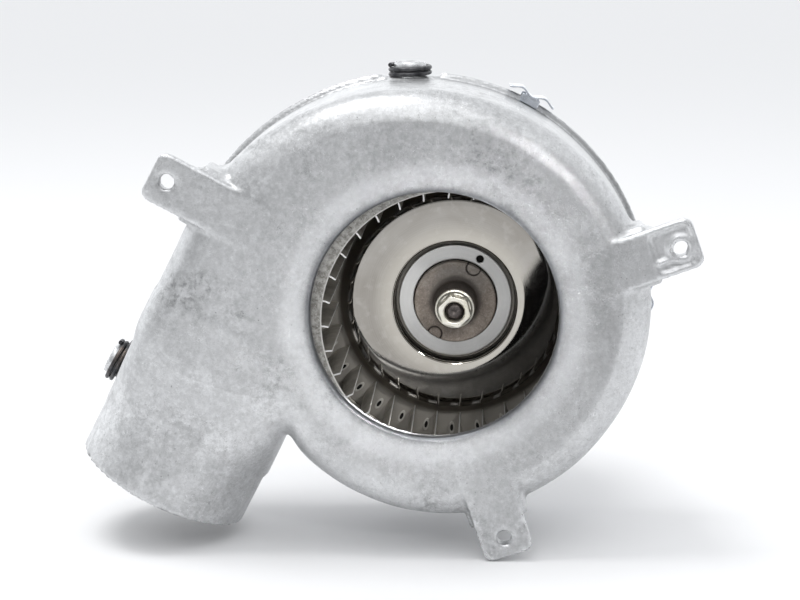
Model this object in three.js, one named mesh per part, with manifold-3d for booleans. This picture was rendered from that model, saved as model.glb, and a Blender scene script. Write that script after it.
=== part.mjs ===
// Combustion fan: die-cast scroll with an offset round inlet, round spigot outlet and three
// mounting lugs, a forward-curved drum impeller, and a shaded-pole motor on the rear cover.
// Millimetres, +Z up. The shaft lies along Y; the inlet (front) side faces -Y, left is -X.
// The origin is the centre of the shaft's front end face. The pieces are drawn from the plane
// of the lug faces, and the group is then moved along -Y by SHAFT_NOSE.
// Points in pairs are [x, z]; profiles of turned pieces are [radius, y].
import * as THREE from 'three';
import { mergeVertices } from 'three/addons/utils/BufferGeometryUtils.js';
import Module from 'manifold-3d';

const wasm = await Module();
wasm.setup();

// ---------------------------------------------------------------- driving dimensions
const GAP = 0.3;                 // clearance kept between neighbouring pieces
const AXIS = [0, 0];             // the shaft axis

const WALL = 3.0;                // cast wall
const FACE_Y = 0.25;             // scroll's front face, just behind the lug faces
const DEPTH = 58.0;              // lug faces to rear joint face of the scroll
const SHOULDER = 11.0;           // rounding from the front face into the side wall
const FLANGE_OUT = 2.3;          // rear flange beyond the side wall
const FLANGE_Y = 54.5;           // front of the rear flange
const INLET_R = 40.0;            // inlet throat
const INLET_CENTRE = [-6.0, 4.4];

const SPIGOT_R = 30.0;
const SPIGOT_BORE_R = 27.2;
const SPIGOT_LENGTH = 18.5;
const OUTLET = { x: -99.6, y: 30.0, z: -59.5 };   // centre of the outlet's end face
const OUTLET_TILT = 27.0;        // degrees of the outlet axis from straight down, to the left
const DUCT_SIDE = -30.2;         // left wall of the duct, across from its axis

const GASKET_Y0 = DEPTH + GAP;
const GASKET_Y1 = GASKET_Y0 + 0.8;
const COVER_Y0 = GASKET_Y1 + GAP;
const COVER_Y1 = COVER_Y0 + 2.5;
const POST_R = 37.0;             // pitch radius of the three motor posts
const POST_ANGLES = [30, 150, 270];
const POST_END_Y = 74.0;

const WHEEL_R = 55.0;            // impeller outside radius
const WHEEL_Y0 = 12.0;           // front of the impeller
const WHEEL_Y1 = 55.0;           // back of the blades
const HUB_Y0 = 36.6;             // front of the impeller hub
const SHAFT_R = 3.0;
const SHAFT_BORE_R = SHAFT_R + GAP;
const SHAFT_NOSE = 30.9;         // shaft's front end, behind the plane of the lug faces

const STACK_Y0 = 84.0;           // stator lamination stack
const STACK_Y1 = 104.0;
const ROTOR_R = 18.2;
const STATOR_BORE_R = 18.9;
const TIE_X = 25.2;              // motor screws, either side of the shaft
const FRONT_BRACKET_Y0 = 77.0;
const FRONT_BRACKET_Y1 = 80.2;
const REAR_BRACKET_Y0 = 108.2;
const REAR_BRACKET_Y1 = 111.4;

// Scroll outline: [degrees from +X towards +Z, outside radius of the side wall]
const SPIRAL = [
  [-146, 66.0], [-139, 66.4], [-131, 66.0], [-120, 65.4], [-105, 64.7], [-88, 63.9], [-70, 62.6],
  [-50, 61.8], [-30, 61.7], [-13, 62.7], [0, 63.8], [12, 65.0], [27, 66.0], [43, 67.4], [60, 69.7],
  [77, 72.7], [94, 76.3], [110, 80.3], [123, 83.6], [136, 87.2], [147, 90.1],
];
const OUTLINE_POINTS = 48;

// ---------------------------------------------------------------- finishes
const FINISHES = {
  castHousing: { color: 0xb9bcbd, roughness: 0.5, metalness: 0.85 },
  castCover: { color: 0xaeb1b3, roughness: 0.5, metalness: 0.85 },
  castBracket: { color: 0xa3a6a8, roughness: 0.5, metalness: 0.85 },
  gasket: { color: 0x3a3d40, roughness: 0.9, metalness: 0.0 },
  seal: { color: 0x2c2a28, roughness: 0.7, metalness: 0.0 },
  bladeSteel: { color: 0xa9a49c, roughness: 0.38, metalness: 0.95 },
  discSteel: { color: 0xa7a29a, roughness: 0.3, metalness: 0.95 },
  hubPlate: { color: 0xc9c9c8, roughness: 0.35, metalness: 0.9 },
  sinteredHub: { color: 0x7c6f64, roughness: 0.75, metalness: 0.6 },
  impellerNut: { color: 0xd8d2bf, roughness: 0.25, metalness: 0.95 },
  shaft: { color: 0x8d8f92, roughness: 0.3, metalness: 1.0 },
  rotor: { color: 0x6f7275, roughness: 0.5, metalness: 0.8 },
  fanPlastic: { color: 0x24262a, roughness: 0.55, metalness: 0.0 },
  laminations: { color: 0x5d6164, roughness: 0.55, metalness: 0.8 },
  bobbin: { color: 0xe8e4d8, roughness: 0.55, metalness: 0.0 },
  winding: { color: 0xc8b56a, roughness: 0.6, metalness: 0.1 },
  tab: { color: 0xcfcfca, roughness: 0.3, metalness: 1.0 },
  copper: { color: 0xb56b3c, roughness: 0.35, metalness: 1.0 },
  bush: { color: 0x9a7442, roughness: 0.5, metalness: 0.9 },
  washer: { color: 0xe9e6dc, roughness: 0.5, metalness: 0.0 },
  fastener: { color: 0xc9c6b4, roughness: 0.3, metalness: 1.0 },
  rubber: { color: 0x1d1d1f, roughness: 0.8, metalness: 0.0 },
  springWire: { color: 0x2b2b2e, roughness: 0.35, metalness: 0.9 },
  clipSteel: { color: 0xb9bcc0, roughness: 0.3, metalness: 1.0 },
};

const group = new THREE.Group();

function add(name, solid, finish) {
  const mesh = new THREE.Mesh(toGeometry(solid), new THREE.MeshStandardMaterial(finish));
  mesh.name = name;
  group.add(mesh);
}

// ---------------------------------------------------------------- meshes to solids and back
function toManifold(geometry) {
  const bare = geometry.clone();
  for (const name of Object.keys(bare.attributes)) {
    if (name !== 'position') bare.deleteAttribute(name);
  }
  const merged = mergeVertices(bare, 1e-4);
  const positions = merged.attributes.position.array;
  const source = merged.index.array;
  const corner = (i) => new THREE.Vector3().fromArray(positions, i * 3);
  const triangles = [];
  let volume = 0;
  for (let i = 0; i < source.length; i += 3) {
    const [a, b, c] = [source[i], source[i + 1], source[i + 2]];
    if (a === b || b === c || c === a) continue;
    triangles.push(a, b, c);
    volume += corner(a).dot(corner(b).cross(corner(c)));
  }
  if (volume < 0) {
    // inside out: turn every triangle over
    for (let i = 0; i < triangles.length; i += 3) {
      [triangles[i], triangles[i + 1]] = [triangles[i + 1], triangles[i]];
    }
  }
  return new wasm.Manifold(new wasm.Mesh({
    numProp: 3,
    vertProperties: new Float32Array(positions),
    triVerts: new Uint32Array(triangles),
  }));
}

function toGeometry(solid) {
  const mesh = solid.getMesh();
  const positions = mesh.vertProperties;
  const geometry = new THREE.BufferGeometry();
  geometry.setAttribute('position', new THREE.BufferAttribute(positions, 3));
  geometry.setIndex(withoutShortEdges(positions, mesh.triVerts));
  geometry.computeVertexNormals();
  return geometry;
}

// Closes up edges shorter than SHORT, which joins and cuts leave where faces nearly meet
const SHORT = 0.02;
function withoutShortEdges(positions, triangles) {
  const parent = Array.from({ length: positions.length / 3 }, (_, i) => i);
  const find = (i) => {
    while (parent[i] !== i) {
      parent[i] = parent[parent[i]];
      i = parent[i];
    }
    return i;
  };
  const near = (a, b) => Math.hypot(
    positions[a * 3] - positions[b * 3],
    positions[a * 3 + 1] - positions[b * 3 + 1],
    positions[a * 3 + 2] - positions[b * 3 + 2],
  ) < SHORT;
  for (let i = 0; i < triangles.length; i += 3) {
    for (let k = 0; k < 3; k++) {
      const a = find(triangles[i + k]);
      const b = find(triangles[i + (k + 1) % 3]);
      if (a !== b && near(a, b)) parent[b] = a;
    }
  }
  // two faces left on the same three corners cancel out
  const faces = new Map();
  for (let i = 0; i < triangles.length; i += 3) {
    const face = [find(triangles[i]), find(triangles[i + 1]), find(triangles[i + 2])];
    if (face[0] === face[1] || face[1] === face[2] || face[2] === face[0]) continue;
    const key = [...face].sort((a, b) => a - b).join();
    if (faces.has(key)) faces.delete(key);
    else faces.set(key, face);
  }
  return [...faces.values()].flat();
}

const join = (...solids) => solids.reduce((whole, solid) => whole.add(solid));
const cut = (solid, ...tools) => tools.reduce((rest, tool) => rest.subtract(tool), solid);

// ---------------------------------------------------------------- places in the X,Z plane
const rad = THREE.MathUtils.degToRad;
const sinDeg = (deg) => Math.sin(rad(deg));
const cosDeg = (deg) => Math.cos(rad(deg));

// The point `out` along the ray at deg from +X towards +Z, and `side` across it
const inFrame = (deg, out, side) => [
  out * cosDeg(deg) - side * sinDeg(deg),
  out * sinDeg(deg) + side * cosDeg(deg),
];
const polar = (radius, deg) => inFrame(deg, radius, 0);

// ---------------------------------------------------------------- basic solids
const toShape = (points) => new THREE.Shape(points.map(([a, b]) => new THREE.Vector2(a, b)));

// Plate with the given outline in X,Z and its faces square to Y
function plate(points, y0, y1) {
  const options = { depth: y1 - y0, bevelEnabled: false, steps: 1 };
  const geometry = new THREE.ExtrudeGeometry(toShape(points), options);
  geometry.rotateX(Math.PI / 2);
  geometry.translate(0, y1, 0);
  return toManifold(geometry);
}

// Outline drawn on the first two axes and pushed along the third, from `origin`
function prism(points, depth, axes, origin) {
  const geometry = new THREE.ExtrudeGeometry(toShape(points), { depth, bevelEnabled: false });
  const frame = new THREE.Matrix4().makeBasis(...axes.map((axis) => new THREE.Vector3(...axis)));
  frame.setPosition(...origin);
  geometry.applyMatrix4(frame);
  return toManifold(geometry);
}

// Cylinder along Y; rearRadius is its radius at y1
function cylinder([x, z], radius, y0, y1, segments, rearRadius = radius) {
  const geometry = new THREE.CylinderGeometry(rearRadius, radius, y1 - y0, segments);
  geometry.translate(x, (y0 + y1) / 2, z);
  return toManifold(geometry);
}

// Solid of revolution about a line along Y; the profile is closed back to its first point
function turned(profile, segments, [x, z] = AXIS) {
  const points = [...profile, profile[0]].map(([radius, y]) => new THREE.Vector2(radius, y));
  const geometry = new THREE.LatheGeometry(points, segments);
  geometry.translate(x, 0, z);
  return toManifold(geometry);
}

function box(x0, x1, y0, y1, z0, z1) {
  const geometry = new THREE.BoxGeometry(x1 - x0, y1 - y0, z1 - z0);
  geometry.translate((x0 + x1) / 2, (y0 + y1) / 2, (z0 + z1) / 2);
  return toManifold(geometry);
}

// Box lying along the ray at deg
function bar(deg, out0, out1, side0, side1, y0, y1) {
  const corners = [[out0, side0], [out1, side0], [out1, side1], [out0, side1]];
  return plate(corners.map(([out, side]) => inFrame(deg, out, side)), y0, y1);
}

// Turns a geometry's +Y to point from `start` to `through`, with its origin at `start`
function alongLine(geometry, start, through) {
  const origin = new THREE.Vector3(...start);
  const direction = new THREE.Vector3(...through).sub(origin).normalize();
  const up = new THREE.Vector3(0, 1, 0);
  geometry.applyQuaternion(new THREE.Quaternion().setFromUnitVectors(up, direction));
  geometry.translate(...start);
  return toManifold(geometry);
}

// Solid of revolution about a line; the profile is [radius, distance] and starts and ends on it
function turnedAlong(start, through, profile, segments) {
  const points = profile.map(([radius, distance]) => new THREE.Vector2(radius, distance));
  return alongLine(new THREE.LatheGeometry(points, segments), start, through);
}

// Triangles over a flat ring of points
function ringCap(ring) {
  const count = ring.length;
  const origin = new THREE.Vector3(...ring[0]);
  const relative = ring.map((point) => new THREE.Vector3(...point).sub(origin));
  const normal = new THREE.Vector3();
  relative.forEach((point, i) => normal.add(point.clone().cross(relative[(i + 1) % count])));
  normal.normalize();
  const across = relative[Math.floor(count / 4)].clone();
  across.addScaledVector(normal, -across.dot(normal)).normalize();
  const upward = normal.clone().cross(across);
  const flat = relative.map((point) => new THREE.Vector2(point.dot(across), point.dot(upward)));
  return THREE.ShapeUtils.triangulateShape(flat, []);
}

// Skin over rings that hold the same number of points, closed by flat ends
function loft(rings) {
  const count = rings[0].length;
  const index = [];
  for (let k = 0; k + 1 < rings.length; k++) {
    for (let i = 0; i < count; i++) {
      const j = (i + 1) % count;
      const [a, b] = [k * count + i, k * count + j];
      const [c, d] = [a + count, b + count];
      index.push(a, b, c, b, d, c);
    }
  }
  for (const [a, b, c] of ringCap(rings[0])) index.push(a, c, b);
  const last = rings.length - 1;
  for (const face of ringCap(rings[last])) index.push(...face.map((i) => i + last * count));
  const geometry = new THREE.BufferGeometry();
  geometry.setAttribute('position', new THREE.Float32BufferAttribute(rings.flat(2), 3));
  geometry.setIndex(index);
  return toManifold(geometry);
}

// ---------------------------------------------------------------- outlet frame
// `back` runs up the outlet duct from its end face, `across` runs square to it
const DUCT_BACK = [sinDeg(OUTLET_TILT), cosDeg(OUTLET_TILT)];
const DUCT_ACROSS = [cosDeg(OUTLET_TILT), -sinDeg(OUTLET_TILT)];
const ductPoint = (back, across) => [
  OUTLET.x + back * DUCT_BACK[0] + across * DUCT_ACROSS[0],
  OUTLET.z + back * DUCT_BACK[1] + across * DUCT_ACROSS[1],
];

// ---------------------------------------------------------------- scroll outline
// The spiral, then a straight run down the duct's side, a rounded corner and a run across it
function makeOutline() {
  const cornerR = 13;
  const cornerBack = 53;
  const control = SPIRAL.map(([deg, radius]) => polar(radius, deg));
  for (const back of [92, 76, 60]) control.push(ductPoint(back, DUCT_SIDE));
  for (const deg of [10, 35, 60, 85]) {
    const across = DUCT_SIDE + cornerR * (1 - cosDeg(deg));
    control.push(ductPoint(cornerBack - cornerR * sinDeg(deg), across));
  }
  for (const [back, across] of [[40.6, -6], [42.6, 8], [44.2, 20]]) {
    control.push(ductPoint(back, across));
  }
  const points = control.map(([x, z]) => new THREE.Vector3(x, z, 0));
  const curve = new THREE.CatmullRomCurve3(points, true, 'centripetal');
  return curve.getSpacedPoints(OUTLINE_POINTS).slice(0, OUTLINE_POINTS).map((p) => [p.x, p.y]);
}

// Outward normal of an edge; the outline runs from +X towards +Z
function edgeNormal(from, to) {
  const [x, z] = [to[0] - from[0], to[1] - from[1]];
  const length = Math.hypot(x, z);
  return [z / length, -x / length];
}

const outline = makeOutline();
const normals = outline.map((_, i) => edgeNormal(
  outline[(i + OUTLINE_POINTS - 1) % OUTLINE_POINTS],
  outline[(i + 1) % OUTLINE_POINTS],
));
const grown = (grow) => outline.map(([x, z], i) => [
  x + normals[i][0] * grow,
  z + normals[i][1] * grow,
]);
const ring = (grow, y) => grown(grow).map(([x, z]) => [x, y, z]);

function wrapAngle(angle) {
  while (angle > Math.PI) angle -= 2 * Math.PI;
  while (angle < -Math.PI) angle += 2 * Math.PI;
  return angle;
}

// Outermost point of the grown outline on the ray at deg, with the outward normal there
function rimPoint(deg, grow) {
  const points = grown(grow);
  const nearby = 0.3;            // radians; leaves out edges on the far side
  let best = null;
  for (let i = 0; i < OUTLINE_POINTS; i++) {
    const from = points[i];
    const to = points[(i + 1) % OUTLINE_POINTS];
    const before = wrapAngle(rad(deg) - Math.atan2(from[1], from[0]));
    const after = wrapAngle(Math.atan2(to[1], to[0]) - rad(deg));
    if (before < 0 || after < 0 || before >= nearby || after >= nearby) continue;
    const part = before / (before + after);
    const point = [from[0] + (to[0] - from[0]) * part, from[1] + (to[1] - from[1]) * part];
    if (!best || Math.hypot(...point) > Math.hypot(...best.point)) {
      best = { point, normal: edgeNormal(from, to) };
    }
  }
  return best;
}

// ---------------------------------------------------------------- scroll drum
// Rings round a shoulder of the given radius, then out to the rear with slight draft
function drum(wall, shoulder, frontY, angles, rearY) {
  const rings = angles.map((deg) => ring(
    -wall - shoulder * (1 - sinDeg(deg)),
    frontY + shoulder * (1 - cosDeg(deg)),
  ));
  const draft = 0.3;
  return loft([...rings, ring(-wall + draft, rearY)]);
}
const drumOuter = drum(0, SHOULDER, FACE_Y, [0, 28, 58, 90], DEPTH);
const drumInner = drum(WALL, SHOULDER - WALL, WALL, [0, 45, 90], DEPTH + 1);

// ---------------------------------------------------------------- duct and spigot
// Section of the duct: a circle by the spigot, a rounded box by the scroll
function ductRing(back, inset) {
  const count = 24;
  const squareness = THREE.MathUtils.smoothstep(back, 19, 50);
  const narrowing = THREE.MathUtils.smoothstep(back, 20, 36);
  const power = 2 / (2 + 3.2 * squareness);
  const frontY = 0.55 * narrowing + inset;
  const rearY = 60 - 2.2 * narrowing - inset;
  const halfWidth = 30.5 - 0.5 * squareness - inset;
  const bend = (value) => Math.sign(value) * Math.abs(value) ** power;
  return Array.from({ length: count }, (_, i) => {
    const angle = (i / count) * 2 * Math.PI;
    const across = halfWidth * bend(Math.cos(angle)) + 0.3 * (1 - squareness);
    const [x, z] = ductPoint(back, across);
    return [x, (rearY + frontY) / 2 + (rearY - frontY) / 2 * bend(Math.sin(angle)), z];
  });
}
const ductOuter = loft([SPIGOT_LENGTH, 27, 35, 44, 55].map((back) => ductRing(back, 0)));
const ductInner = loft([14, 21, 30, 39, 50, 62].map((back) => ductRing(back, WALL)));

function outletAxis(back) {
  const [x, z] = ductPoint(back, 0);
  return [x, OUTLET.y, z];
}

function makeSpigot() {
  const profile = [[0, 0], [SPIGOT_R - 0.5, 0], [SPIGOT_R, 0.6], [SPIGOT_R, 24], [0, 24]];
  return turnedAlong(outletAxis(0), outletAxis(1), profile, 32);
}

function makeSpigotBore() {
  const length = 23;
  const geometry = new THREE.CylinderGeometry(SPIGOT_BORE_R, SPIGOT_BORE_R, length, 32);
  geometry.translate(0, length / 2, 0);
  return alongLine(geometry, outletAxis(-1), outletAxis(0));
}

// ---------------------------------------------------------------- inlet
// The front wall rolls inward into a short collar, and the mouth is cut through it
const inletCollar = turned([
  [INLET_R + 7, 0.2], [INLET_R + 7, 3], [INLET_R + 4.2, 4.6], [INLET_R + 2.6, 8.4],
  [INLET_R, 8.4], [INLET_R - 1, 4.5], [INLET_R - 1, 0.2],
], 36, INLET_CENTRE);
const inletMouth = turned([
  [0, -1], [INLET_R + 4.4, -1], [INLET_R + 4.0, 0.0], [INLET_R + 1.6, 1.0],
  [INLET_R, 4.4], [INLET_R, 10], [0, 10],
], 36, INLET_CENTRE);

// ---------------------------------------------------------------- mounting lugs
// deg: the way the lug points. Along the lug: root, wall (the scroll's side) and end.
// Across it: side0, its lower-valued edge. hole is [along, across].
const LUG_WIDTH = 16.6;
const LUG_THICKNESS = 3.4;
const LUG_HOLE_R = 2.5;
const LUGS = [
  { deg: 152.3, hole: [103.0, 0.5], side0: -7.8, root: 78, wall: 91.6, end: 108.9 },
  { deg: 20.0, hole: [77.0, 0.8], side0: -6.7, root: 52, wall: 65.2, end: 83.3, pocket: true },
  { deg: -71.6, hole: [71.2, -5.6], side0: -13.8, root: 50, wall: 62.6, end: 78.0 },
];

// Plate along the ray at deg with its two far corners rounded
function tongue(deg, root, end, side0, side1, cornerR, y0, y1) {
  const steps = [0, 45, 90];
  const points = [
    [root, side0],
    ...steps.map((a) => [end - cornerR * (1 - sinDeg(a)), side0 + cornerR * (1 - cosDeg(a))]),
    ...steps.map((a) => [end - cornerR * (1 - cosDeg(a)), side1 - cornerR * (1 - sinDeg(a))]),
    [root, side1],
  ];
  return plate(points.map(([out, side]) => inFrame(deg, out, side)), y0, y1);
}

// Triangular web behind a lug, back to the side wall
function lugWeb({ deg, wall, end }, side) {
  const profile = [[wall - 4, 3.2], [end - 9.5, 3.2], [wall + 2.6, 30], [wall - 4, 40]];
  const [outX, outZ] = polar(1, deg);
  const axes = [[outX, 0, outZ], [0, 1, 0], [-outZ, 0, outX]];
  return prism(profile, 2.5, axes, [-outZ * side, 0, outX * side]);
}

function lugSolids(lug) {
  const { deg, root, wall, end, side0 } = lug;
  const side1 = side0 + LUG_WIDTH;
  return [
    tongue(deg, root, end, side0, side1, 3.4, 0, LUG_THICKNESS),
    bar(deg, wall - 8, wall + 3.2, side0 - 1.7, side1 + 1.7, 3.0, 17),
    lugWeb(lug, side0 + 1.4),
    lugWeb(lug, side1 - 3.9),
    cylinder(inFrame(deg, ...lug.hole), 5.0, 0, 5.4, 16),
  ];
}

function lugCuts({ deg, hole, side0, end, pocket }) {
  const centre = inFrame(deg, ...hole);
  const cuts = [cylinder(centre, LUG_HOLE_R, -1, 8, 14)];
  if (pocket) {
    // a raised rim round a shallow pocket, with a boss at the hole and a rib back to the scroll
    const rim = 1.9;
    const side1 = side0 + LUG_WIDTH;
    cuts.push(cut(
      tongue(deg, 68, end - rim, side0 + rim, side1 - rim, 2.2, -1, 1.3),
      cylinder(centre, 4.6, -2, 2, 14),
      bar(deg, 60, 76, -2.2, -0.6, -2, 2),
    ));
  }
  return cuts;
}

// ---------------------------------------------------------------- spring pegs
// base: centre on the wall, [x, y, z]; normal points off the wall, tangent along it
const TOP_WALL_Z = 77.0;
const [leftPegX, leftPegZ] = ductPoint(27.5, DUCT_SIDE);
const PEG_TOP = { base: [-15.7, 49.0, TOP_WALL_Z], normal: [0, 1], tangent: [1, 0] };
const PEG_LEFT = {
  base: [leftPegX, 40.0, leftPegZ],
  normal: [-DUCT_ACROSS[0], -DUCT_ACROSS[1]],
  tangent: DUCT_BACK,
};
const pegPoint = ({ base, normal, tangent }, along, y, height) => [
  base[0] + tangent[0] * along + normal[0] * height,
  base[1] + y,
  base[2] + tangent[1] * along + normal[1] * height,
];

function makePeg(peg) {
  const profile = [
    [0, -3.5], [7.7, -3.5], [7.7, 0.35], [5.5, 0.35], [5.5, 5.2], [4.9, 5.8], [0, 5.8],
  ];
  const solid = turnedAlong(pegPoint(peg, 0, 0, 0), pegPoint(peg, 0, 0, 1), profile, 16);
  return cut(solid, drumInner, ductInner);
}

// Notch in the rim behind the top peg, from y0 back
function rimNotch(y0) {
  const x = PEG_TOP.base[0];
  return box(x - 10.3, x + 10.3, y0, 66, TOP_WALL_Z + 0.2, TOP_WALL_Z + 9);
}
const jointNotch = rimNotch(50);

// ---------------------------------------------------------------- scroll housing
function makeHousing() {
  const flange = loft([
    ring(FLANGE_OUT - 0.5, FLANGE_Y),
    ring(FLANGE_OUT, FLANGE_Y + 0.6),
    ring(FLANGE_OUT, DEPTH),
  ]);
  const notchedFlange = cut(flange, rimNotch(FLANGE_Y - 0.5));
  const solids = LUGS.flatMap(lugSolids);
  let housing = join(drumOuter, notchedFlange, ductOuter, makeSpigot(), ...solids);
  housing = cut(housing, drumInner, ductInner, makeSpigotBore());
  housing = join(housing, inletCollar);
  housing = cut(housing, inletMouth, ...LUGS.flatMap(lugCuts));
  return join(housing, makePeg(PEG_TOP), makePeg(PEG_LEFT));
}
add('scroll_housing', makeHousing(), FINISHES.castHousing);

// ---------------------------------------------------------------- gasket and rear cover
add('cover_gasket', cut(
  loft([ring(1.4, GASKET_Y0), ring(1.4, GASKET_Y1)]),
  loft([ring(-2.4, GASKET_Y0 - 1), ring(-2.4, GASKET_Y0 + 2)]),
  jointNotch,
), FINISHES.gasket);

function makeCover() {
  const edge = FLANGE_OUT - 0.3;
  const base = COVER_Y1 - 0.5;   // raised parts start inside the plate
  const panel = loft([ring(edge, COVER_Y0), ring(edge, COVER_Y1 - 0.6), ring(edge - 0.6, COVER_Y1)]);
  // stiffening rim just inside the joint
  const rim = cut(
    loft([ring(-9, base), ring(-9.6, COVER_Y1 + 2.2)]),
    loft([ring(-12.6, COVER_Y1 - 1), ring(-12.0, COVER_Y1 + 3)]),
  );
  let cover = join(panel, rim, cylinder(AXIS, 12, base, COVER_Y1 + 2.6, 24));
  for (const deg of POST_ANGLES) {
    const rib = bar(deg, 8, 52, -1.2, 1.2, base, COVER_Y1 + 1.9);
    cover = join(cover, rib, cylinder(polar(POST_R, deg), 5.4, base, POST_END_Y, 14, 4.6));
  }
  const shaftHole = cylinder(AXIS, 4.2, 50, 80, 20);
  const sealSeat = cylinder(AXIS, 8.3, COVER_Y0 - 1, COVER_Y0 + 1.9, 20);
  const postHoles = POST_ANGLES.map((deg) => cylinder(polar(POST_R, deg), 2.35, 63.5, 80, 10));
  return cut(cover, jointNotch, shaftHole, sealSeat, ...postHoles);
}
add('rear_cover', makeCover(), FINISHES.castCover);

// Washer-shaped piece with square edges
function washer(innerR, outerR, y0, y1, segments) {
  return turned([[innerR, y0], [outerR, y0], [outerR, y1], [innerR, y1]], segments);
}

// seal disc in the cover's inner counterbore, with a running clearance on the shaft
add('shaft_seal', washer(SHAFT_R + 0.35, 7.9, COVER_Y0 + 0.1, COVER_Y0 + 1.5, 18), FINISHES.seal);

// ---------------------------------------------------------------- impeller
const BLADES = 32;
const BLADE_THICKNESS = 0.7;
const BLADE_INNER_R = 41.2;
const BLADE_OUTER_R = WHEEL_R - 1.2;
const BLADE_PHASE = 0.0404;      // radians
const FRONT_RING_INNER_R = 43.4;
const SHEET = 0.8;               // sheet of the back disc and the front ring's lip

// One blade: a thin strip through three points, its outer edge swept towards +Z from +X
function makeBlade(k) {
  const base = (k / BLADES) * 2 * Math.PI + BLADE_PHASE;
  const centreLine = [0, 0.5, 1].map((part) => {
    const radius = BLADE_INNER_R + (BLADE_OUTER_R - BLADE_INNER_R) * part;
    const angle = base + 0.005 - 0.085 * part + 0.19 * part * part;
    return [radius * Math.cos(angle), radius * Math.sin(angle)];
  });
  const shifted = (distance) => centreLine.map(([x, z], i) => {
    const normal = edgeNormal(centreLine[Math.max(0, i - 1)], centreLine[Math.min(2, i + 1)]);
    return [x + normal[0] * distance, z + normal[1] * distance];
  });
  const half = BLADE_THICKNESS / 2;
  const points = [...shifted(-half), ...shifted(half).reverse()];
  return plate(points, WHEEL_Y0 + 0.3, WHEEL_Y1 - 0.2);
}

function makeBladeCage() {
  const lipR = WHEEL_R - SHEET;
  const frontRing = turned([
    [FRONT_RING_INNER_R, WHEEL_Y0], [WHEEL_R, WHEEL_Y0], [WHEEL_R, WHEEL_Y0 + 3.0],
    [lipR, WHEEL_Y0 + 3.0], [lipR, WHEEL_Y0 + 0.9], [FRONT_RING_INNER_R, WHEEL_Y0 + 0.9],
  ], 36);
  const rearHoop = washer(WHEEL_R - 3.4, WHEEL_R - 0.4, WHEEL_Y1 - 1.2, WHEEL_Y1 - 0.2, 36);
  const blades = Array.from({ length: BLADES }, (_, k) => makeBlade(k));
  return join(...blades, frontRing, rearHoop);
}
add('impeller_blade_cage', makeBladeCage(), FINISHES.bladeSteel);

// dished back disc: flat rim behind the blades, a cone to the flat zone, a rolled-in centre
add('impeller_back_disc', turned([
  [8.2, 53.4], [20.7, 53.3], [21.2, 48.3], [22.3, 47.1], [37.0, 47.0], [38.6, 49.0],
  [41.0, 55.1], [WHEEL_R, 55.1], [WHEEL_R, 55.1 + SHEET], [40.6, 55.1 + SHEET],
  [36.8, 47.0 + SHEET], [22.6, 47.1 + SHEET], [22.0, 48.6], [21.5, 53.4 + SHEET],
  [8.2, 53.4 + SHEET],
], 32), FINISHES.discSteel);

add('impeller_hub_plate', cut(
  turned([[14.7, 50.6], [19.3, 50.6], [19.6, 50.9], [19.6, 51.6], [14.7, 51.6]], 28),
  cylinder(polar(16.9, 60), 1.25, 48, 54, 10),
), FINISHES.hubPlate);

// sintered hub: boss to the nut, flange disc, and a spigot back through the back disc
function makeHub() {
  const body = turned([
    [SHAFT_BORE_R, HUB_Y0], [7.0, HUB_Y0], [7.3, HUB_Y0 + 0.3], [7.3, 48.4], [10.0, 48.3],
    [14.2, 48.0], [14.35, 48.2], [14.35, 52.0], [7.8, 52.0], [7.8, 56.6], [SHAFT_BORE_R, 56.6],
  ], 22);
  // shallow ring grooves in the front of the flange disc
  const grooves = [62, 238].map((deg) => {
    const centre = polar(13.6, deg);
    return cut(cylinder(centre, 2.6, 47, 48.6, 10), cylinder(centre, 2.1, 46, 49, 10));
  });
  return cut(body, ...grooves);
}
add('impeller_hub', makeHub(), FINISHES.sinteredHub);

// flange nut: washer face, and a hexagon chamfered at its front end
function makeImpellerNut() {
  const rearY = HUB_Y0 - GAP;
  const face = turned([
    [SHAFT_BORE_R, rearY], [6.7, rearY], [6.7, 35.6], [5.6, 34.7], [SHAFT_BORE_R, 34.7],
  ], 20);
  const chamfer = turned([[0, 29.6], [4.7, 29.6], [6.4, 30.6], [6.4, 36], [0, 36]], 18);
  const hexagon = cylinder(AXIS, 5.7, 29.7, 34.9, 6).intersect(chamfer);
  return cut(join(face, hexagon), cylinder(AXIS, SHAFT_BORE_R, 25, 40, 16));
}
add('impeller_nut', makeImpellerNut(), FINISHES.impellerNut);

// ---------------------------------------------------------------- shaft, rotor, cooling wheel
add('motor_shaft', turned([
  [0, SHAFT_NOSE], [2.4, SHAFT_NOSE], [SHAFT_R, SHAFT_NOSE + 0.6],
  [SHAFT_R, 118.4], [2.5, 119.0], [0, 119.0],
], 20), FINISHES.shaft);

// lamination core with a raised ring on each end
add('rotor_core', join(
  washer(SHAFT_BORE_R, ROTOR_R, STACK_Y0, STACK_Y1, 26),
  turned([
    [10, STACK_Y0 - 2], [ROTOR_R - 0.9, STACK_Y0 - 2],
    [ROTOR_R - 0.4, STACK_Y0 + 0.2], [9.5, STACK_Y0 + 0.2],
  ], 26),
  turned([
    [9.5, STACK_Y1 - 0.2], [ROTOR_R - 0.4, STACK_Y1 - 0.2],
    [ROTOR_R - 0.9, STACK_Y1 + 2], [10, STACK_Y1 + 2],
  ], 26),
), FINISHES.rotor);

// between the cover and the motor: a hub and flat vanes on a disc
function makeCoolingWheel() {
  const vaneCount = 8;
  const disc = turned([
    [SHAFT_BORE_R, 66.0], [7.0, 66.0], [7.0, 68.0], [29.5, 68.0],
    [29.5, 69.2], [7.6, 69.2], [7.0, 73.4], [SHAFT_BORE_R, 73.4],
  ], 24);
  const vanes = Array.from({ length: vaneCount }, (_, k) => (
    bar(k * 360 / vaneCount + 10, 9, 28.8, -0.6, 0.6, 69.0, 73.0)));
  return join(disc, ...vanes);
}
add('cooling_fan_wheel', makeCoolingWheel(), FINISHES.fanPlastic);

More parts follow.
